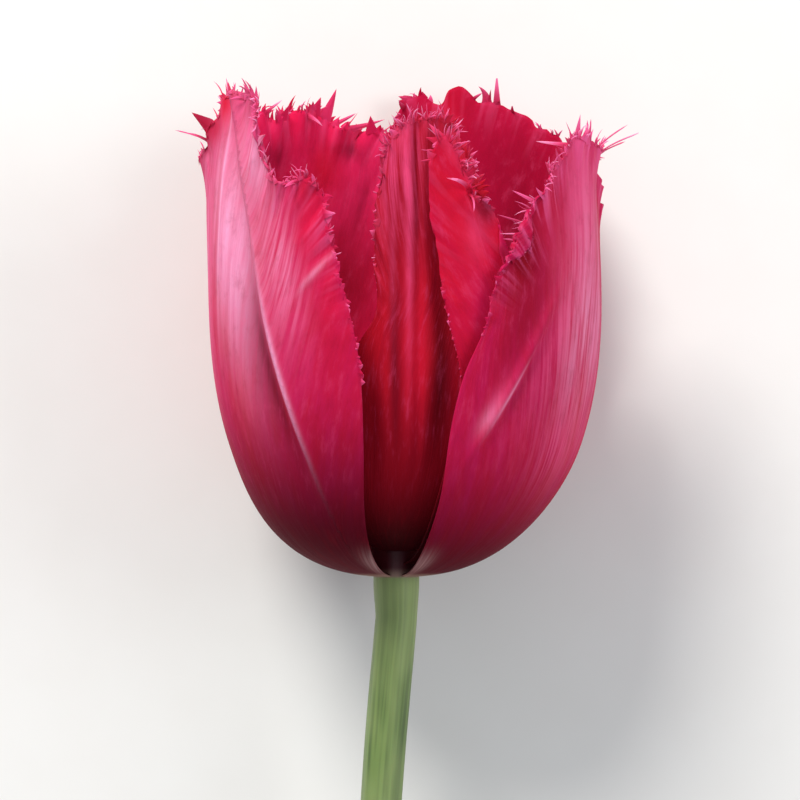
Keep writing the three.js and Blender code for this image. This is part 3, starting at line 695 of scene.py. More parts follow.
def ragged_margins(flat, u, v, amount, rng):
    """Moves a petal's margins in and out so that its edge is lobed and uneven."""
    coarse = ragged_line(rng, EDGE_LENGTH, LOBE_STEP)
    fine = ragged_line(rng, EDGE_LENGTH, NICK_STEP)
    fringed = smoothstep(wall_at(flat[..., 1])[1], FRINGE_START, 62)
    top, left, right = (edge_ways(line) for line in (flat[-1], flat[:, 0], flat[:, -1]))
    moves = np.zeros_like(flat)
    for (reach, outward), start, share, axis in (
        (top, 2, v, 0), (left, 80, 1 - u, 1), (right, 150, u, 1),
    ):
        rag = amount * (coarse(reach + start) + 0.5 * fine(reach + start))[:, None] * outward
        moves += np.expand_dims(rag, axis) * (share ** EDGE_POWER * fringed)[..., None]
    flat += moves


def fan_place(flat):
    """Places along an arc: its rays fan out from a spot low on the petal."""
    middle = flat[..., 0].mean()
    low = arc_at_height(FAN_HEIGHT)
    return FAN_RADIUS * np.arctan2(flat[..., 0] - middle, flat[..., 1] - low)


def margin_pleats(flat, rim, fringed, rng):
    """Small pleats that run in from the margin, deepest at the edge."""
    place = fan_place(flat)
    wander = ragged_line(rng, PLEAT_LENGTH, PLEAT_STEP)(place + FAN_OFFSET)
    waves = sum(high * np.sin(rate * place + stray * wander) for high, rate, stray in PLEAT_WAVES)
    return rim ** 2 * fringed * waves


def veins_across(petal, u, azimuth, height):
    """A value that changes across a petal's veins, so that streaks follow them."""
    grain = (u - 0.5) * (1 - 0.45 * smoothstep(height, 22, 68))
    if "barbs" not in petal:
        return grain
    slanted = (azimuth * MM_PER_DEGREE - BARB_SLANT * height) / BARB_SCALE
    return np.where(azimuth > petal["barbs"](height), slanted, grain)


def rim_share(flat):
    """1 on a petal's sides and top, falling to 0 within the width of its thin margin."""
    border = np.concatenate([flat[:, 0], flat[-1], flat[:, -1]])
    away = np.full(flat.shape[:2], np.inf)
    for spot in border:
        away = np.minimum(away, np.linalg.norm(flat - spot, axis=-1))
    return np.clip(1 - away / MARGIN_WIDTH, 0, 1)


def petal_fields(petal, rng):
    """The places, depths and paint values of a petal's grid points."""
    u, v = grid_shares(GRID_COLUMNS, GRID_ROWS)
    flat = petal_patch(petal, u, v)
    ragged_margins(flat, u, v, petal["lobes"], rng)
    height = wall_at(flat[..., 1])[1]
    azimuth = flat[..., 0] / MM_PER_DEGREE
    fringed = smoothstep(height, FRINGE_START, FRINGE_FULL)
    spread = 1 + LAYER_SPREAD * smoothstep(height, SPREAD_START, SPREAD_END)
    rim = rim_share(flat)
    lip = LIP_ROLL * rim ** 3 * fringed * (1 if petal["layer"] == 0 else INNER_LIP)
    pleats = margin_pleats(flat, rim, fringed, rng) * petal["pleats"]
    depth = petal["layer"] * LAYER_STEP * spread - petal["relief"](azimuth, height) - pleats - lip
    return {
        "flat": flat, "depth": depth, "height": height, "azimuth": azimuth, "rim": rim,
        "grain": veins_across(petal, u, azimuth, height), "pleat": fan_place(flat),
    }


def petal_sheet(petal, fields, outside, inside):
    """A petal's blade: a grid bent to the cup, thickened inwards and thin at its rim."""
    flat = fields["flat"]
    points = on_cup(flat[..., 0], flat[..., 1], fields["depth"])
    values = {key: fields.get(key, 0 * fields["rim"]) for key in PETAL_FIELDS}
    blade = grid_sheet(petal["name"] + "_fine", GRID_COLUMNS, GRID_ROWS, points, values)
    for material in (outside, inside):
        blade.data.materials.append(material)
    body = blade.vertex_groups.new(name="body")
    for index, weight in enumerate(1 - fields["rim"].ravel() ** 3):
        body.add([index], float(weight), "REPLACE")
    apply_modifier(
        blade, "SOLIDIFY", thickness=PETAL_THICKNESS * MM, offset=-1, vertex_group="body",
        thickness_vertex_group=EDGE_THINNESS, material_offset=1, material_offset_rim=0,
        use_even_offset=False,
    )
    blade.vertex_groups.clear()
    shade_smooth(blade)
    return blade


# The fringe: flat pointed teeth side by side along a rim, with thinner hairs among
# them. Each tooth and hair tapers and curls as it grows.
HAIR_RINGS = 6
HAIR_CORNERS = 4
HAIR_ROOT = 0.4
HAIR_HALF_DEPTH = 0.11
FRINGE_LOWEST = 29.0
LONG_HAIRS_FROM = 46.0


def rim_of(fields):
    """The border of a petal from its left side over the top and down its right side."""
    def border(grid):
        return np.concatenate([grid[:, 0], grid[-1, 1:-1], grid[::-1, -1]])

    line = border(fields["flat"])
    rim = {key: border(fields[key]) for key in ("depth", "height", "grain", "azimuth", "pleat")}
    return {**rim, "line": line, "reach": reach_along(line)}


def along_rim(rim, key, places):
    return np.interp(places, rim["reach"], rim[key])


def fringed_places(petal, rim, shortest, longest, rng):
    """Places along the rim at random spacings, but for its low and its bare parts."""
    count = int(rim["reach"][-1] / shortest)
    places = np.cumsum(rng.uniform(shortest, longest, count))
    places = places[places < rim["reach"][-1] - shortest]
    azimuth = along_rim(rim, "azimuth", places)
    height = along_rim(rim, "height", places)
    kept = height > FRINGE_LOWEST
    for left, right, low, high in petal["bare"]:
        kept &= (azimuth < left) | (azimuth > right) | (height < low) | (height > high)
    return places[kept]


def nearest_places(rim, azimuths, heights):
    """The places on the rim that are nearest to some azimuths and heights."""
    spots = np.column_stack([rim["line"][:, 0], rim["height"]])
    wanted = np.column_stack([azimuths * MM_PER_DEGREE, heights])
    return rim["reach"][[int(np.argmin(np.linalg.norm(spots - spot, axis=1))) for spot in wanted]]


def draws(rng, count):
    """A function that draws a value between two bounds for each of some hairs."""
    return lambda low, high: rng.uniform(low, high, count)


def random_teeth(petal, rim, rng):
    """Flat teeth along the whole rim, low on the petal short and at its tip long."""
    places = fringed_places(petal, rim, 0.45, 1.3, rng)
    draw = draws(rng, len(places))
    grown = smoothstep(along_rim(rim, "height", places), 44, 68)
    clump = ragged_line(rng, rim["reach"][-1], 2.4)(places)
    lean = ragged_line(rng, rim["reach"][-1], 3.0)(places)
    length = mix(draw(0.1, 0.6), draw(0.6, 2.4), grown)
    return {
        "place": places, "length": length * (1 + 0.7 * clump) + HAIR_ROOT, "width": draw(0.8, 2.0),
        "taper": 1.0, "curl": draw(0.0, 1.2), "lean": 0.8 * lean + draw(-0.3, 0.3),
        "sway": draw(-0.6, 0.6), "bend": draw(*petal["bend"]), "stiff": 1.3,
        "chance": 0.6 * rng.random(len(places)) ** 2,
    }


def random_hairs(petal, rim, rng):
    """Thin hairs in loose clumps on the upper part of the rim."""
    spacing = petal["hair_spacing"]
    places = fringed_places(petal, rim, 0.2 * spacing, 1.8 * spacing, rng)
    places = places[along_rim(rim, "height", places) > LONG_HAIRS_FROM]
    draw = draws(rng, len(places))
    grown = smoothstep(along_rim(rim, "height", places), LONG_HAIRS_FROM, 66)
    return {
        "place": places, "length": draw(1.0, 3.2) * mix(0.5, 1.0, grown) + HAIR_ROOT,
        "width": draw(0.22, 0.42), "taper": 0.6, "curl": 2.2 * rng.random(len(places)) ** 1.6,
        "lean": draw(-0.7, 0.7), "sway": draw(-0.6, 0.6), "bend": draw(*petal["bend"]),
        "stiff": 1.3, "chance": draw(0.1, 0.8),
    }


def tuft_hairs(petal, rim, rng):
    """The petal's own clumps of curled hairs."""
    rows = np.array(petal["tufts"], float)
    repeated = np.repeat(rows, rows[:, 3].astype(int), axis=0)
    azimuth, height, spread, _, length, width, curl, bend = repeated.T
    draw = draws(rng, len(azimuth))
    return {
        "place": nearest_places(rim, azimuth, height) + spread * draw(-1, 1),
        "length": length * draw(0.5, 1.2) + HAIR_ROOT, "width": width * draw(0.6, 1.4), "taper": 0.8,
        "curl": curl * draw(0.4, 1.2), "lean": draw(-0.8, 0.8), "sway": draw(-0.7, 0.7),
        "bend": bend * draw(0.5, 1.0), "stiff": 1.2, "chance": draw(0.2, 1.0),
    }


def spike_hairs(petal, rim, rng):
    """The petal's own long spikes."""
    azimuth, height, length, width, curl, lean, bend = np.array(petal["spikes"], float).T
    draw = draws(rng, len(width))
    return {
        "place": nearest_places(rim, azimuth, height), "length": length + HAIR_ROOT, "width": width,
        "taper": np.where(width > 1, 0.9, 0.6), "curl": curl, "lean": -lean, "sway": 0.3 * np.sign(lean),
        "bend": bend, "stiff": 0.15, "chance": np.where(width > 2, 0.1, draw(0.3, 0.9)),
    }


def all_hairs(kinds):
    """The values of several kinds of hair in a row, where one number fits a whole kind."""
    return {
        key: np.concatenate([np.broadcast_to(kind[key], kind["place"].shape) for kind in kinds])
        for key in kinds[0]
    }


def hair_faces():
    """Faces of one hair: rings of four corners, a closed foot and a pointed tip."""
    faces = [(3, 2, 1, 0)]
    for ring in range(HAIR_RINGS - 1):
        for corner in range(HAIR_CORNERS):
            a = ring * HAIR_CORNERS + corner
            b = ring * HAIR_CORNERS + (corner + 1) % HAIR_CORNERS
            faces.append((a, b, b + HAIR_CORNERS, a + HAIR_CORNERS))
    last = (HAIR_RINGS - 1) * HAIR_CORNERS
    tip = HAIR_RINGS * HAIR_CORNERS
    for corner in range(HAIR_CORNERS):
        faces.append((last + corner, last + (corner + 1) % HAIR_CORNERS, tip))
    return faces


def hair_paths(hairs):
    """Each hair's centre line and headings in unrolled space: it curls as it grows."""
    count = len(hairs["length"])
    share = np.arange(1, HAIR_RINGS + 1) / HAIR_RINGS
    zero = np.zeros((count, 1))
    out = np.hstack([hairs["outward"], zero])
    side = np.hstack([-hairs["outward"][:, 1:], hairs["outward"][:, :1], zero])
    deep = np.tile([0.0, 0.0, 1.0], (count, 1))
    bend_way = unit(hairs["sway"][:, None] * side + hairs["bend"][:, None] * deep)
    turned = (hairs["curl"][:, None] * share ** hairs["stiff"][:, None])[..., None]
    start = unit(out + hairs["lean"][:, None] * side)[:, None, :]
    heading = unit(np.cos(turned) * start + np.sin(turned) * bend_way[:, None, :])
    steps = heading * (hairs["length"] / HAIR_RINGS)[:, None, None]
    path = np.concatenate([np.zeros((count, 1, 3)), np.cumsum(steps, axis=1)], axis=1)
    return path + hairs["root"][:, None, :], np.concatenate([heading[:, :1], heading], axis=1)


def grow_hairs(hairs):
    """Hair points in unrolled space: flat, tapered rings round each centre line."""
    path, heading = hair_paths(hairs)
    count = len(path)
    share = np.arange(HAIR_RINGS + 1) / HAIR_RINGS
    deep = np.array([0.0, 0.0, 1.0])
    flatwise = unit(np.cross(heading, deep) + 0.15 * np.array([1.0, 0.0, 0.0]))
    through = unit(np.cross(flatwise, heading))
    half_width = 0.5 * hairs["width"][:, None] * (1 - share) ** hairs["taper"][:, None]
    half_depth = np.minimum(half_width, HAIR_HALF_DEPTH)
    corners = [
        path + flatwise * half_width[..., None],
        path + through * half_depth[..., None],
        path - flatwise * half_width[..., None],
        path - through * half_depth[..., None],
    ]
    rings = np.stack(corners, axis=2)[:, :HAIR_RINGS].reshape(count, HAIR_RINGS * HAIR_CORNERS, 3)
    return np.concatenate([rings, path[:, -1:]], axis=1)


def fringe_of(petal, fields, rng):
    """The fringe of a petal, as one object of many hairs rooted in its rim."""
    rim = rim_of(fields)
    makers = (random_teeth, random_hairs, tuft_hairs, spike_hairs)
    hairs = all_hairs([make(petal, rim, rng) for make in makers])
    places = hairs["place"]

    def on_rim(offset):
        spots = [np.interp(places + offset, rim["reach"], rim["line"][:, k]) for k in (0, 1)]
        return np.stack(spots, axis=1)

    along = unit(on_rim(1.2) - on_rim(-1.2))
    hairs["outward"] = np.stack([-along[:, 1], along[:, 0]], axis=1)
    depth = along_rim(rim, "depth", places) + HAIR_HALF_DEPTH
    hairs["root"] = np.column_stack([on_rim(0) - hairs["outward"] * HAIR_ROOT, depth])
    values = {key: along_rim(rim, key, places) for key in ("height", "grain", "pleat")}
    values.update(chance=hairs["chance"], rim=np.ones(len(places)))
    return hairs_object(petal["name"] + "_fringe", grow_hairs(hairs), values)


def hairs_object(name, points, values):
    """One object of many hairs, with values for its paint, one for each hair."""
    count, size = points.shape[:2]
    placed = on_cup(points[..., 0], points[..., 1], points[..., 2]).reshape(-1, 3)
    template = hair_faces()
    faces = [
        tuple(corner + hair * size for corner in face) for hair in range(count) for face in template
    ]
    mesh = bpy.data.meshes.new(name)
    mesh.from_pydata((placed * MM).tolist(), [], faces)
    mesh.update()
    share = np.concatenate([np.repeat(np.arange(HAIR_RINGS) / HAIR_RINGS, HAIR_CORNERS), [1.0]])
    set_attribute(mesh, "tip", np.tile(share, (count, 1)))
    set_attribute(mesh, "azimuth", points[..., 0] / MM_PER_DEGREE)
    for key, hair_values in values.items():
        set_attribute(mesh, key, np.repeat(hair_values, size))
    item = bpy.data.objects.new(name, mesh)
    bpy.context.scene.collection.objects.link(item)
    return item


def join(main, others):
    activate(main)
    for other in others:
        other.select_set(True)
    bpy.ops.object.join()
    return main


# Shader maths: a socket that can be used in sums.
def maths(operation, swapped=False):
    """A method that joins a value and another one by an operation of the maths node."""
    def method(self, other):
        pair = [other, self] if swapped else [self, other]
        return self.finish.node("ShaderNodeMath", {"operation": operation}, pair)
    return method


class Value:
    __add__ = __radd__ = maths("ADD")
    __sub__ = maths("SUBTRACT")
    __rsub__ = maths("SUBTRACT", swapped=True)
    __mul__ = __rmul__ = maths("MULTIPLY")
    __truediv__ = maths("DIVIDE")

    def __init__(self, finish, socket):
        self.finish = finish
        self.socket = socket

    def clamped(self):
        settings = {"operation": "ADD", "use_clamp": True}
        return self.finish.node("ShaderNodeMath", settings, [self, 0.0])

    def between(self, low, high):
        """0 below low, 1 above high, smooth between them."""
        settings = {"interpolation_type": "SMOOTHSTEP"}
        inputs = {"Value": self, "From Min": low, "From Max": high}
        return self.finish.node("ShaderNodeMapRange", settings, inputs)

    def falloff(self, width):
        """1 at 0, falling off softly on both sides of it over the width."""
        away = self / width
        return self.finish.node("ShaderNodeMath", {"operation": "EXPONENT"}, [0.0 - away * away])


class Finish:
    """A material under construction."""

    def __init__(self, name):
        self.material = bpy.data.materials.new(name)
        self.material.use_nodes = True
        self.tree = self.material.node_tree
        self.shader = self.tree.nodes["Principled BSDF"]

    def node(self, kind, settings, inputs, output=0):
        node = self.tree.nodes.new(kind)
        for name, value in settings.items():
            setattr(node, name, value)
        pairs = inputs.items() if isinstance(inputs, dict) else enumerate(inputs)
        for key, value in pairs:
            self.feed(node.inputs[key], value)
        return Value(self, node.outputs[output])

    def feed(self, socket, value):
        if isinstance(value, Value):
            self.tree.links.new(value.socket, socket)
        elif isinstance(value, tuple) and socket.type == "RGBA":
            socket.default_value = (*value, 1.0)
        else:
            socket.default_value = value

    def attribute(self, name):
        return self.node("ShaderNodeAttribute", {"attribute_name": name}, [], output="Fac")

    def vector(self, x, y, z=0.0):
        return self.node("ShaderNodeCombineXYZ", {}, [x, y, z])

    def noise(self, place, scale=1.0, detail=2.0, roughness=0.5):
        inputs = {"Vector": place, "Scale": scale, "Detail": detail, "Roughness": roughness}
        return self.node("ShaderNodeTexNoise", {}, inputs)

    def blend(self, share, low, high):
        """A colour that goes from low to high as the share grows."""
        return self.node("ShaderNodeMix", {"data_type": "RGBA"}, {0: share, 6: low, 7: high}, output=2)

    def covered(self, colour, *coats):
        """A colour under coats of other ones, each with the share that it covers."""
        for share, tint in coats:
            colour = self.blend(share, colour, tint)
        return colour

    def bump(self, height, strength, distance_mm):
        inputs = {"Height": height, "Strength": strength, "Distance": distance_mm * MM}
        return self.node("ShaderNodeBump", {}, inputs)

    def object_place(self):
        return self.node("ShaderNodeTexCoord", {}, [], output="Object")

    def surface(self, values):
        for name, value in values.items():
            self.feed(self.shader.inputs[name], value)
        return self.material


def streaks(finish, grain, height, fine, seed):
    """Lengthwise streaks that follow the petal from its base to its tip, 0 to 1."""
    place = finish.vector(grain * fine, height * 0.045, seed)
    return finish.noise(place, detail=4.0, roughness=0.65).between(0.32, 0.66)


def mark_share(azimuth, height, lines, mark):
    """How strongly a soft brush mark covers the skin. It may slant and be streaky."""
    _, at, level, width, length, slant, strength, streaky = mark
    along = height - level
    across = azimuth - (along * slant + at) if slant else azimuth - at
    covered = across.falloff(width) * along.falloff(length) * strength
    return covered * (lines * streaky + (1 - streaky)) if streaky else covered


def petal_skin(finish, colour, grain, height, ruffles, seed):
    veins = finish.noise(finish.vector(grain * 95, height * 0.05, seed), detail=3.0, roughness=0.6)
    puckers = finish.noise(finish.vector(grain * 16, height * 0.12, seed + 4), detail=2.0)
    finish.shader.inputs["Subsurface Radius"].default_value = (1.0, 0.25, 0.3)
    return finish.surface({
        "Base Color": colour,
        "Roughness": 0.42 + veins * 0.2,
        "Normal": finish.bump(veins * 0.6 + puckers + ruffles * 3, 0.7, 0.16),
        # Painted glow: the petal's colour given off weakly, standing in for light that shines through the
        # thin petals and lifting their shade.
        "Emission Color": colour,
        "Emission Strength": 0.06,
        "Subsurface Weight": 0.12,
        "Subsurface Scale": 0.0012,
        "Specular IOR Level": 0.015,
    })


def petal_finish(petal, side, seed):
    """The skin of one side of a petal: streaks, brush marks (some painted highlights and shade), a dark foot
    that is partly painted shade, a painted highlight on the margin's pleats, and pale fringe tips that are
    partly painted light.
    """
    finish = Finish(f"{petal['name']}_{side}")
    grain, azimuth, height, rim, pleat, tip, chance = map(finish.attribute, PETAL_FIELDS)
    bands = streaks(finish, grain, height, 9, seed)
    lines = streaks(finish, grain, height, 70, seed + 2)
    mottle = finish.noise(finish.vector(grain * 34, height * 0.22, seed + 6), detail=5.0, roughness=0.68)
    folds = finish.noise(finish.vector(pleat * 0.8, rim * 0.7, seed + 5), detail=1.5)
    ruffled = rim.between(0.2, 1.0) * height.between(36, 56)
    looks = petal[side]

    def brushed(marks):
        return [(mark_share(azimuth, height, lines, mark).clamped(), mark[0]) for mark in marks]

    colour = finish.covered(
        finish.blend(bands, *looks["body"]),
        *brushed(looks["marks"]),
        # The foot: darker towards the base, partly the petal's own dark base, partly painted shade.
        *[(1 - height.between(low, high), tint) for tint, low, high in looks["foot"]],
        (mottle.between(0.48, 0.74) * 0.26, DEEP_RED),
        ((1 - mottle.between(0.28, 0.5)) * height.between(4, 26) * 0.2, ROSE),
        # Painted highlight on the crests of the margin's pleats.
        (ruffled * folds.between(0.45, 0.65) * petal["pleat_highlight"], PALE_TIP_AND_HIGHLIGHT_PINK),
        *brushed(looks["touches"]),
        # Paler towards the fringe's tips: partly their own pale colour, partly painted light shining through
        # them.
        (tip.between(0.0, 0.9) * chance.between(0.0, 0.6), PALE_TIP_AND_HIGHLIGHT_PINK),
        (tip.between(0.3, 1.0) * chance.between(0.5, 1.0), WHITE_TIP_AND_GLOW),
    )
    return petal_skin(finish, colour, grain, height, folds * ruffled, seed)


def build_petal(petal, seed):
    rng = np.random.default_rng(seed)
    fields = petal_fields(petal, rng)
    outside = petal_finish(petal, "outside", seed)
    inside = petal_finish(petal, "inside", seed + INSIDE_SEED)
    blade = petal_sheet(petal, fields, outside, inside)
    fringe = fringe_of(petal, fields, rng)
    fringe.data.materials.append(inside if petal["seen"] == "inside" else outside)
    join(blade, [fringe])
    dress(blade, petal["name"], "outer_petal" if petal["layer"] == 0 else "inner_petal")


# The stem and the leaves.
def row_point(x, y, z):
    return to_row(np.array([x, y, z], float))


JOINT = row_point(-CUP_LEAN, 0, 0)
BLOOM_AXIS = row_point(-CUP_LEAN, 0, 1) - JOINT


def spaced_headings(before, start, end, after):
    """Headings that suit the spacing of the points."""
    a, b, c = (math.sqrt(np.linalg.norm(q - p)) for p, q in ((before, start), (start, end), (end, after)))
    leave = ((start - before) / a - (end - before) / (a + b) + (end - start) / b) * b
    arrive = ((end - start) / b - (after - start) / (b + c) + (after - end) / c) * b
    return leave, arrive


def centripetal_line(points, samples=60):
    points = np.asarray(points, float)
    padded = np.vstack([2 * points[0] - points[1], points, 2 * points[-1] - points[-2]])
    return cubic_line(padded, spaced_headings, samples)


LYING_CENTRE = STEM_RADIUS_END - 0.1
STEM_LINE = centripetal_line([
    (4, JOINT[1] - STEM_LENGTH + 0.05, LYING_CENTRE),
    (1, JOINT[1] - STEM_LENGTH * 0.84, LYING_CENTRE),
    (-5, JOINT[1] - STEM_LENGTH * 0.58, 7.4),
    (-5.5, JOINT[1] - STEM_LENGTH * 0.3, 15.6),
    JOINT - 30 * BLOOM_AXIS + (-2, 0, -0.6),
    JOINT - NECK_LENGTH * BLOOM_AXIS,
])


def round_rings(centres, radii, turn):
    """Rings of points round a line of centres."""
    heading = unit(np.gradient(centres, axis=0))
    across = unit(np.cross(heading, [0.0, 0.0, 1.0]))
    over = unit(np.cross(across, heading))
    angle = 2 * math.pi * turn[..., None]
    ring = across[:, None, :] * np.cos(angle) + over[:, None, :] * np.sin(angle)
    points = centres[:, None, :] + radii[..., None] * ring
    points[..., 2] = np.maximum(points[..., 2], TABLE_SKIN)
    return points


def stem_shape(turn, along):
    """The stem up to its straight neck, and then the neck and the receptacle."""
    share = along[:, 0]
    on_stem = np.clip(share / STEM_ROWS, 0, 1)
    rise = np.clip((share - STEM_ROWS) / (1 - STEM_ROWS), 0, 1) * (RECEPTACLE_TOP + NECK_LENGTH)
    straight = STEM_LINE(1.0) + rise[:, None] * BLOOM_AXIS
    centres = np.where((share < STEM_ROWS)[:, None], STEM_LINE(on_stem), straight)
    above = rise - NECK_LENGTH
    shoulder = smoothstep(above, 0.6, RECEPTACLE_SHOULDER + 0.4)
    flare = 0.3 * smoothstep(share, 0.7, 0.9) + 0.35 * smoothstep(above, -7, -0.5)
    radius = mix(mix(STEM_RADIUS_END, STEM_RADIUS_TOP, on_stem) + flare, RECEPTACLE_RADIUS, shoulder)
    radius = radius * np.where(above > RECEPTACLE_TOP - 0.01, 0.94, 1) * 0.985
    ribs = RIB_HEIGHT * np.sin(2 * math.pi * RIB_COUNT * turn + 6 * along) * (along < 0.9)
    return round_rings(centres, radius[:, None] + ribs, turn), {}


def leaf_section(leaf, t):
    """The cross-section of a leaf at a share of its length, as in the CAD source."""
    side = leaf["side"]
    clasp_radius = STEM_RADIUS_END + CLASP_GAP + LEAF_THICKNESS
    away, widened = smoothstep(t, 0.03, 0.2), smoothstep(t, 0.06, 0.45)
    turned = smoothstep(t, 0.1, 0.85)
    swell = math.sin(math.pi * (0.1 + 0.9 * t) ** 0.8) ** 0.8
    clasp_width = clasp_radius * math.radians(CLASP_ANGLE)
    half_width = max(mix(clasp_width, leaf["half_width"] * swell, widened), 0.8)
    half_angle = math.radians(mix(CLASP_ANGLE, leaf["trough"], away))
    radius = half_width / half_angle
    facing = math.radians(mix(-CLASP_RISE, leaf["facing"], turned))
    opening = np.array([-side * math.cos(facing), 0, math.sin(facing)])
    across = np.array([side * math.sin(facing), 0, math.cos(facing)])
    edge_rise = math.sin(half_angle) * math.sin(abs(facing))
    edge_x = radius * (edge_rise + (1 - math.cos(half_angle)) * math.cos(facing))
    low_angle = max(-facing - math.pi / 2, -half_angle)
    lowest = radius * (math.sin(low_angle) * across[2] + (1 - math.cos(low_angle)) * opening[2])
    gap = CLASP_GAP + leaf["spread"] * t ** 1.3
    on_stem = STEM_LINE(leaf["stem_share"])
    stem_x = STEM_LINE(leaf["stem_share"] + t * leaf["length"] / STEM_LENGTH)[0]
    clasp_x = on_stem[0] + side * clasp_radius * math.cos(math.radians(CLASP_RISE))
    clasp_z = on_stem[2] + clasp_radius * math.sin(math.radians(CLASP_RISE))
    free_x = stem_x + side * (STEM_RADIUS_END + gap + edge_x)
    free_z = leaf["tip_lift"] * smoothstep(t, 0.6, 1) - lowest
    midrib = (mix(clasp_x, free_x, away), on_stem[1] + leaf["length"] * t, mix(clasp_z, free_z, away))
    wave = leaf["wave"] * turned * math.sin(leaf["waves"] * t * math.pi)
    return np.array(midrib), opening, across, radius, half_angle, wave


def leaf_shape(leaf):
    def shape(turn, along):
        """The outer face runs from one margin to the other and the inner face back."""
        u = 1 - 2 * np.abs(2 * turn[0] - 1)
        inner = turn[0] > 0.5
        body = 0.12 + 0.5 * (1 - np.abs(u) ** 3)
        rows = []
        for t in along[:, 0]:
            midrib, opening, across, radius, half_angle, wave = leaf_section(leaf, t)
            reach = radius - np.where(inner, body, 0.08) - 0.06
            sideways = (reach * np.sin(u * half_angle))[:, None]
            inward = (radius - reach * np.cos(u * half_angle) + wave * u * u)[:, None]
            keel = -0.25 * np.exp(-((u / 0.1) ** 2))[:, None] * ~inner[:, None] * min(radius / 20, 1)
            rows.append(midrib + sideways * across + (inward + 0.3 + keel) * opening)
        points = np.array(rows)
        points[..., 2] = np.maximum(points[..., 2], TABLE_SKIN)
        return points, {"across": np.tile(u, (len(along), 1))}
    return shape


LEAVES = [
    {
        "name": "leaf_lower", "side": -1, "stem_share": 0.12, "length": 150, "half_width": 15, "trough": 36,
        "facing": 62, "spread": 20, "tip_lift": 9, "wave": 1.2, "waves": 4,
    },
    {
        "name": "leaf_upper", "side": 1, "stem_share": 0.25, "length": 124, "half_width": 12.5, "trough": 38,
        "facing": 58, "spread": 17, "tip_lift": 7, "wave": 1.0, "waves": 3,
    },
]

STEM_GREEN = rgb(112, 136, 70)
STEM_PALE = rgb(148, 164, 102)
STEM_DARK = rgb(74, 98, 44)
CUT_PALE = rgb(196, 204, 160)
LEAF_GREEN = rgb(84, 124, 92)
LEAF_BLUE = rgb(128, 162, 140)
LEAF_PALE = rgb(186, 204, 160)


def stem_finish():
    """Waxy green skin with faint lengthwise streaks, pale at the neck and the cut."""
    finish = Finish("stem_skin_fine")
    turn = finish.attribute("turn")
    along = finish.attribute("along")
    lines = finish.noise(finish.vector(turn * 26, along * 9, 3.0), detail=3.0)
    cloudy = finish.noise(finish.vector(turn * 3, along * 12, 8.0), detail=2.0)
    colour = finish.covered(
        finish.blend(lines.between(0.35, 0.65), STEM_DARK, STEM_GREEN),
        (cloudy.between(0.4, 0.7) * 0.6, STEM_PALE),
        (along.between(0.86, 0.965) * 0.55, STEM_PALE),
        (1 - along.between(0.0001, 0.0015), CUT_PALE),
        (along.between(0.9655, 0.969), JOINT_PALE),
        (along.between(0.969, 0.977), MAROON),
    )
    return finish.surface({
        "Base Color": colour,
        "Roughness": 0.42 + cloudy * 0.2,
        "Normal": finish.bump(lines, 0.4, 0.12),
        "Subsurface Weight": 0.08,
        "Subsurface Scale": 0.0015,
        "Sheen Weight": 0.12,
    })


def leaf_finish(name, seed):
    """A blue-green, waxy leaf with fine veins that run its whole length."""
    finish = Finish(name + "_skin")
    across = finish.attribute("across")
    along = finish.attribute("along")
    veins = finish.noise(finish.vector(across * 34, along * 1.5, seed), detail=2.0)
    bloom = finish.noise(finish.vector(across * 3, along * 9, seed + 3), detail=3.0)
    colour = finish.covered(
        finish.blend(veins.between(0.36, 0.64), LEAF_GREEN, LEAF_BLUE),
        (bloom.between(0.4, 0.7) * 0.5, LEAF_BLUE),
        ((across * across).between(0.9, 1.0) * 0.5, LEAF_PALE),
        ((1 - along.between(0.0, 0.14)) * 0.75, LEAF_PALE),
    )
    return finish.surface({
        "Base Color": colour,
        "Roughness": 0.46 + bloom * 0.2,
        "Normal": finish.bump(veins, 0.5, 0.14),
        "Subsurface Weight": 0.06,
        "Subsurface Scale": 0.001,
        "Sheen Weight": 0.15,
    })


def build_greens():
    stem = tube("stem_fine", round(48 * FINE), round(240 * FINE), stem_shape)
    dress(stem, "stem", "stem_skin", stem_finish())
    for number, leaf in enumerate(LEAVES):
        blade = tube(leaf["name"] + "_fine", round(96 * FINE), round(150 * FINE), leaf_shape(leaf))
        dress(blade, leaf["name"], "leaf_skin", leaf_finish(leaf["name"], 5.0 + number))


# The pistil and the stamens.
def lathe_shape(outline, place, lobes=0, lobing=0.0, grooves=0.0):
    """A turned form: its outline is radii and heights, its place moves it in the bloom."""
    line = smooth_line(outline)

    def shape(turn, along):
        radius, height = np.moveaxis(line(along), -1, 0)
        angle = 2 * math.pi * turn
        swell = 1 + lobing * np.cos(lobes * angle) - grooves * np.cos(2 * angle) ** 8
        local = np.stack([radius * swell * np.cos(angle), radius * swell * np.sin(angle), height], axis=-1)
        moved = local @ np.array(place.to_3x3()).T + np.array(place.translation)
        return to_row(moved), {}
    return shape


def pistil_finish(name, base, tint, scale, roughness, bump_mm):
    finish = Finish(name)
    place = finish.object_place()
    mottled = finish.noise(place, scale=scale, detail=3.0)
    grains = finish.noise(place, scale=scale * 5, detail=2.0)
    return finish.surface({
        "Base Color": finish.blend(mottled.between(0.35, 0.65), base, tint),
        "Roughness": roughness + mottled * 0.15,
        "Normal": finish.bump(grains, 0.7, bump_mm),
    })


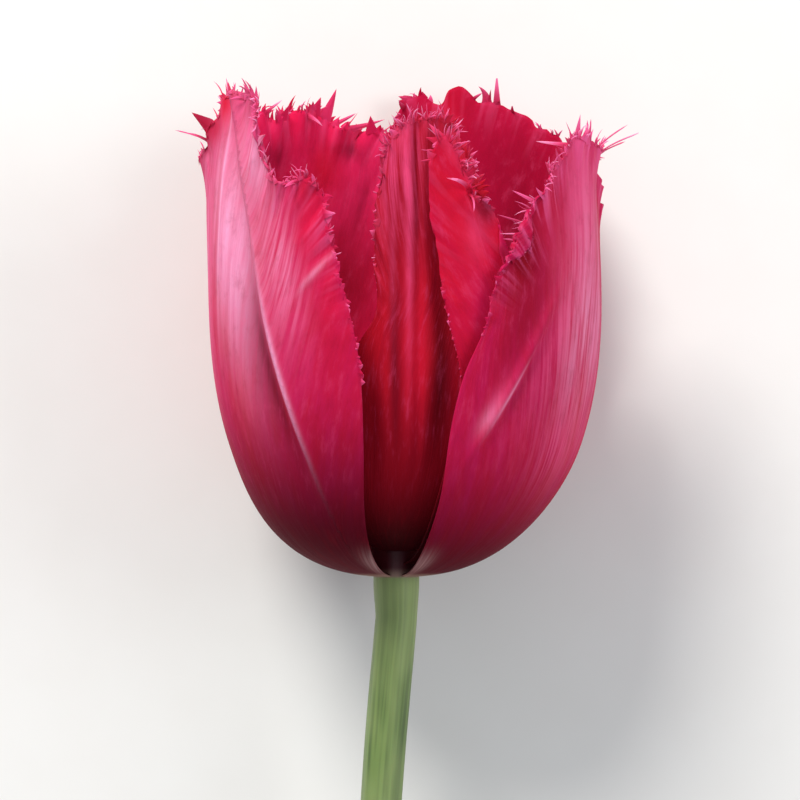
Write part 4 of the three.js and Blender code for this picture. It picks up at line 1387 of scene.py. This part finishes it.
def build_pistil():
    seat = RECEPTACLE_TOP + SEAT_GAP
    r, h = OVARY_RADIUS, OVARY_HEIGHT
    outline = [
        (0.05, 0), (r * 0.6, 0.02), (r * 0.93, h * 0.3), (r * 0.98, h * 0.6), (r * 0.78, h * 0.97), (0.05, h),
    ]
    place = Matrix.Translation((-CUP_LEAN, 0, seat))
    ovary = tube("ovary_fine", 48, 48, lathe_shape(outline, place, 3, 0.1))
    green = pistil_finish("ovary_green", rgb(132, 152, 84), rgb(156, 170, 100), 300.0, 0.42, 0.05)
    dress(ovary, "ovary", "ovary_skin", green)
    r, h = STIGMA_RADIUS, STIGMA_HEIGHT
    outline = [
        (0.05, 0), (r * 0.5, 0.02), (r * 0.9, h * 0.35), (r * 0.98, h * 0.6), (r * 0.84, h * 0.95),
        (r * 0.4, h * 0.8), (0.05, h * 0.7),
    ]
    place = Matrix.Translation((-CUP_LEAN, 0, seat + OVARY_HEIGHT + SEAT_GAP))
    stigma = tube("stigma_fine", 72, 48, lathe_shape(outline, place, 3, 0.25))
    cream = pistil_finish("stigma_cream", rgb(214, 204, 140), rgb(232, 224, 168), 900.0, 0.7, 0.12)
    dress(stigma, "stigma", "stigma_skin", cream)


def build_stamens():
    purple = pistil_finish("filament_purple", rgb(46, 22, 38), rgb(70, 34, 52), 500.0, 0.45, 0.03)
    pollen = pistil_finish("anther_pollen", rgb(30, 20, 26), rgb(52, 38, 44), 1600.0, 0.8, 0.12)
    seat = RECEPTACLE_TOP + SEAT_GAP + 0.05
    r, h = ANTHER_RADIUS, ANTHER_LENGTH
    anther_outline = [
        (0.03, 0), (r * 0.55, h * 0.03), (r * 0.97, h * 0.25), (r * 0.88, h * 0.7), (r * 0.45, h * 0.95),
        (0.03, h),
    ]
    filament_outline = [
        (0.03, 0), (FILAMENT_RADIUS * 0.9, 0.02), (FILAMENT_RADIUS * 0.8, FILAMENT_HEIGHT * 0.6),
        (FILAMENT_RADIUS * 0.6, FILAMENT_HEIGHT), (0.03, FILAMENT_HEIGHT),
    ]
    for k in range(STAMEN_COUNT):
        turn = math.radians((k + 0.5) * 360 / STAMEN_COUNT)
        spot = (STAMEN_CIRCLE * math.cos(turn) - CUP_LEAN, STAMEN_CIRCLE * math.sin(turn), seat)
        lean = Matrix.Rotation(math.radians(STAMEN_LEAN), 4, "Y")
        stand = Matrix.Translation(spot) @ Matrix.Rotation(turn, 4, "Z") @ lean
        filament = tube(f"filament_{k + 1}_fine", 12, 16, lathe_shape(filament_outline, stand))
        dress(filament, f"filament_{k + 1}", "filament_skin", purple)
        raised = stand @ Matrix.Translation((0, 0, FILAMENT_HEIGHT + SEAT_GAP))
        anther = tube(f"anther_{k + 1}_fine", 32, 32, lathe_shape(anther_outline, raised, grooves=0.22))
        dress(anther, f"anther_{k + 1}", "anther_skin", pollen)


# The stage: a pale floor, soft light and a long lens square to the bloom.
PHOTO_SCALE = 0.15
PHOTO_CENTRE = 400
BLOOM_CENTRE_PIXEL = 405
JOINT_PIXEL = 577
CAMERA_DISTANCE = 1.2
SENSOR_WIDTH = 36
FLOOR_SIZE = 6
FLOOR_LEVEL = -0.0002
LIGHT_AIM = (0, 0, 0.03)


def soft_light(name, place, size, power, colour):
    data = bpy.data.lights.new(name, "AREA")
    data.shape = "DISK"
    data.size = size
    data.energy = power
    data.color = colour
    lamp = bpy.data.objects.new(name, data)
    lamp.location = place
    lamp.rotation_euler = (Vector(LIGHT_AIM) - Vector(place)).to_track_quat("-Z", "Y").to_euler()
    bpy.context.scene.collection.objects.link(lamp)


def add_floor():
    deselect_all()
    bpy.ops.mesh.primitive_plane_add(size=FLOOR_SIZE, location=(0, 0, FLOOR_LEVEL))
    floor = bpy.context.object
    floor.name = "floor"
    finish = Finish("floor_paint")
    grain = finish.noise(finish.object_place(), scale=90.0, detail=3.0)
    colour = finish.blend(grain, rgb(232, 230, 225), rgb(236, 235, 231))
    finish.surface({"Base Color": colour, "Roughness": 0.7 + grain * 0.1})
    floor.data.materials.append(finish.material)


def add_lights():
    world = bpy.data.worlds.new("soft_sky")
    world.use_nodes = True
    sky = world.node_tree.nodes["Background"].inputs
    sky["Color"].default_value = (0.88, 0.92, 1.0, 1)
    sky["Strength"].default_value = 0.5
    bpy.context.scene.world = world
    soft_light("key", (-0.4, 0.8, 0.75), size=0.5, power=13, colour=(1.0, 0.98, 0.95))
    soft_light("fill", (0.8, 0.1, 0.7), size=0.6, power=3.5, colour=(0.95, 0.97, 1.0))


def add_camera():
    data = bpy.data.cameras.new("camera")
    camera = bpy.data.objects.new("camera", data)
    bpy.context.scene.collection.objects.link(camera)
    sideways = (PHOTO_CENTRE - BLOOM_CENTRE_PIXEL) * PHOTO_SCALE
    height = (JOINT_PIXEL - PHOTO_CENTRE) * PHOTO_SCALE
    aim = BLOOM @ Vector((sideways, 0, height)) * MM
    front = (BLOOM.to_3x3() @ Vector((0, -1, 0))).normalized()
    up = (BLOOM.to_3x3() @ Vector((0, 0, 1))).normalized()
    turn = Matrix((up.cross(front), up, front)).transposed().to_4x4()
    camera.matrix_world = Matrix.Translation(aim + front * CAMERA_DISTANCE) @ turn
    data.sensor_width = SENSOR_WIDTH
    data.lens = SENSOR_WIDTH * CAMERA_DISTANCE / (2 * PHOTO_CENTRE * PHOTO_SCALE * MM)
    data.clip_end = 20
    bpy.context.scene.camera = camera
    bpy.context.scene.view_settings.view_transform = "Standard"


add_camera()
add_floor()
add_lights()
for number, petal in enumerate(PETALS):
    build_petal(petal, FIRST_SEED + SEED_STEP * number)
build_greens()
build_pistil()
build_stamens()
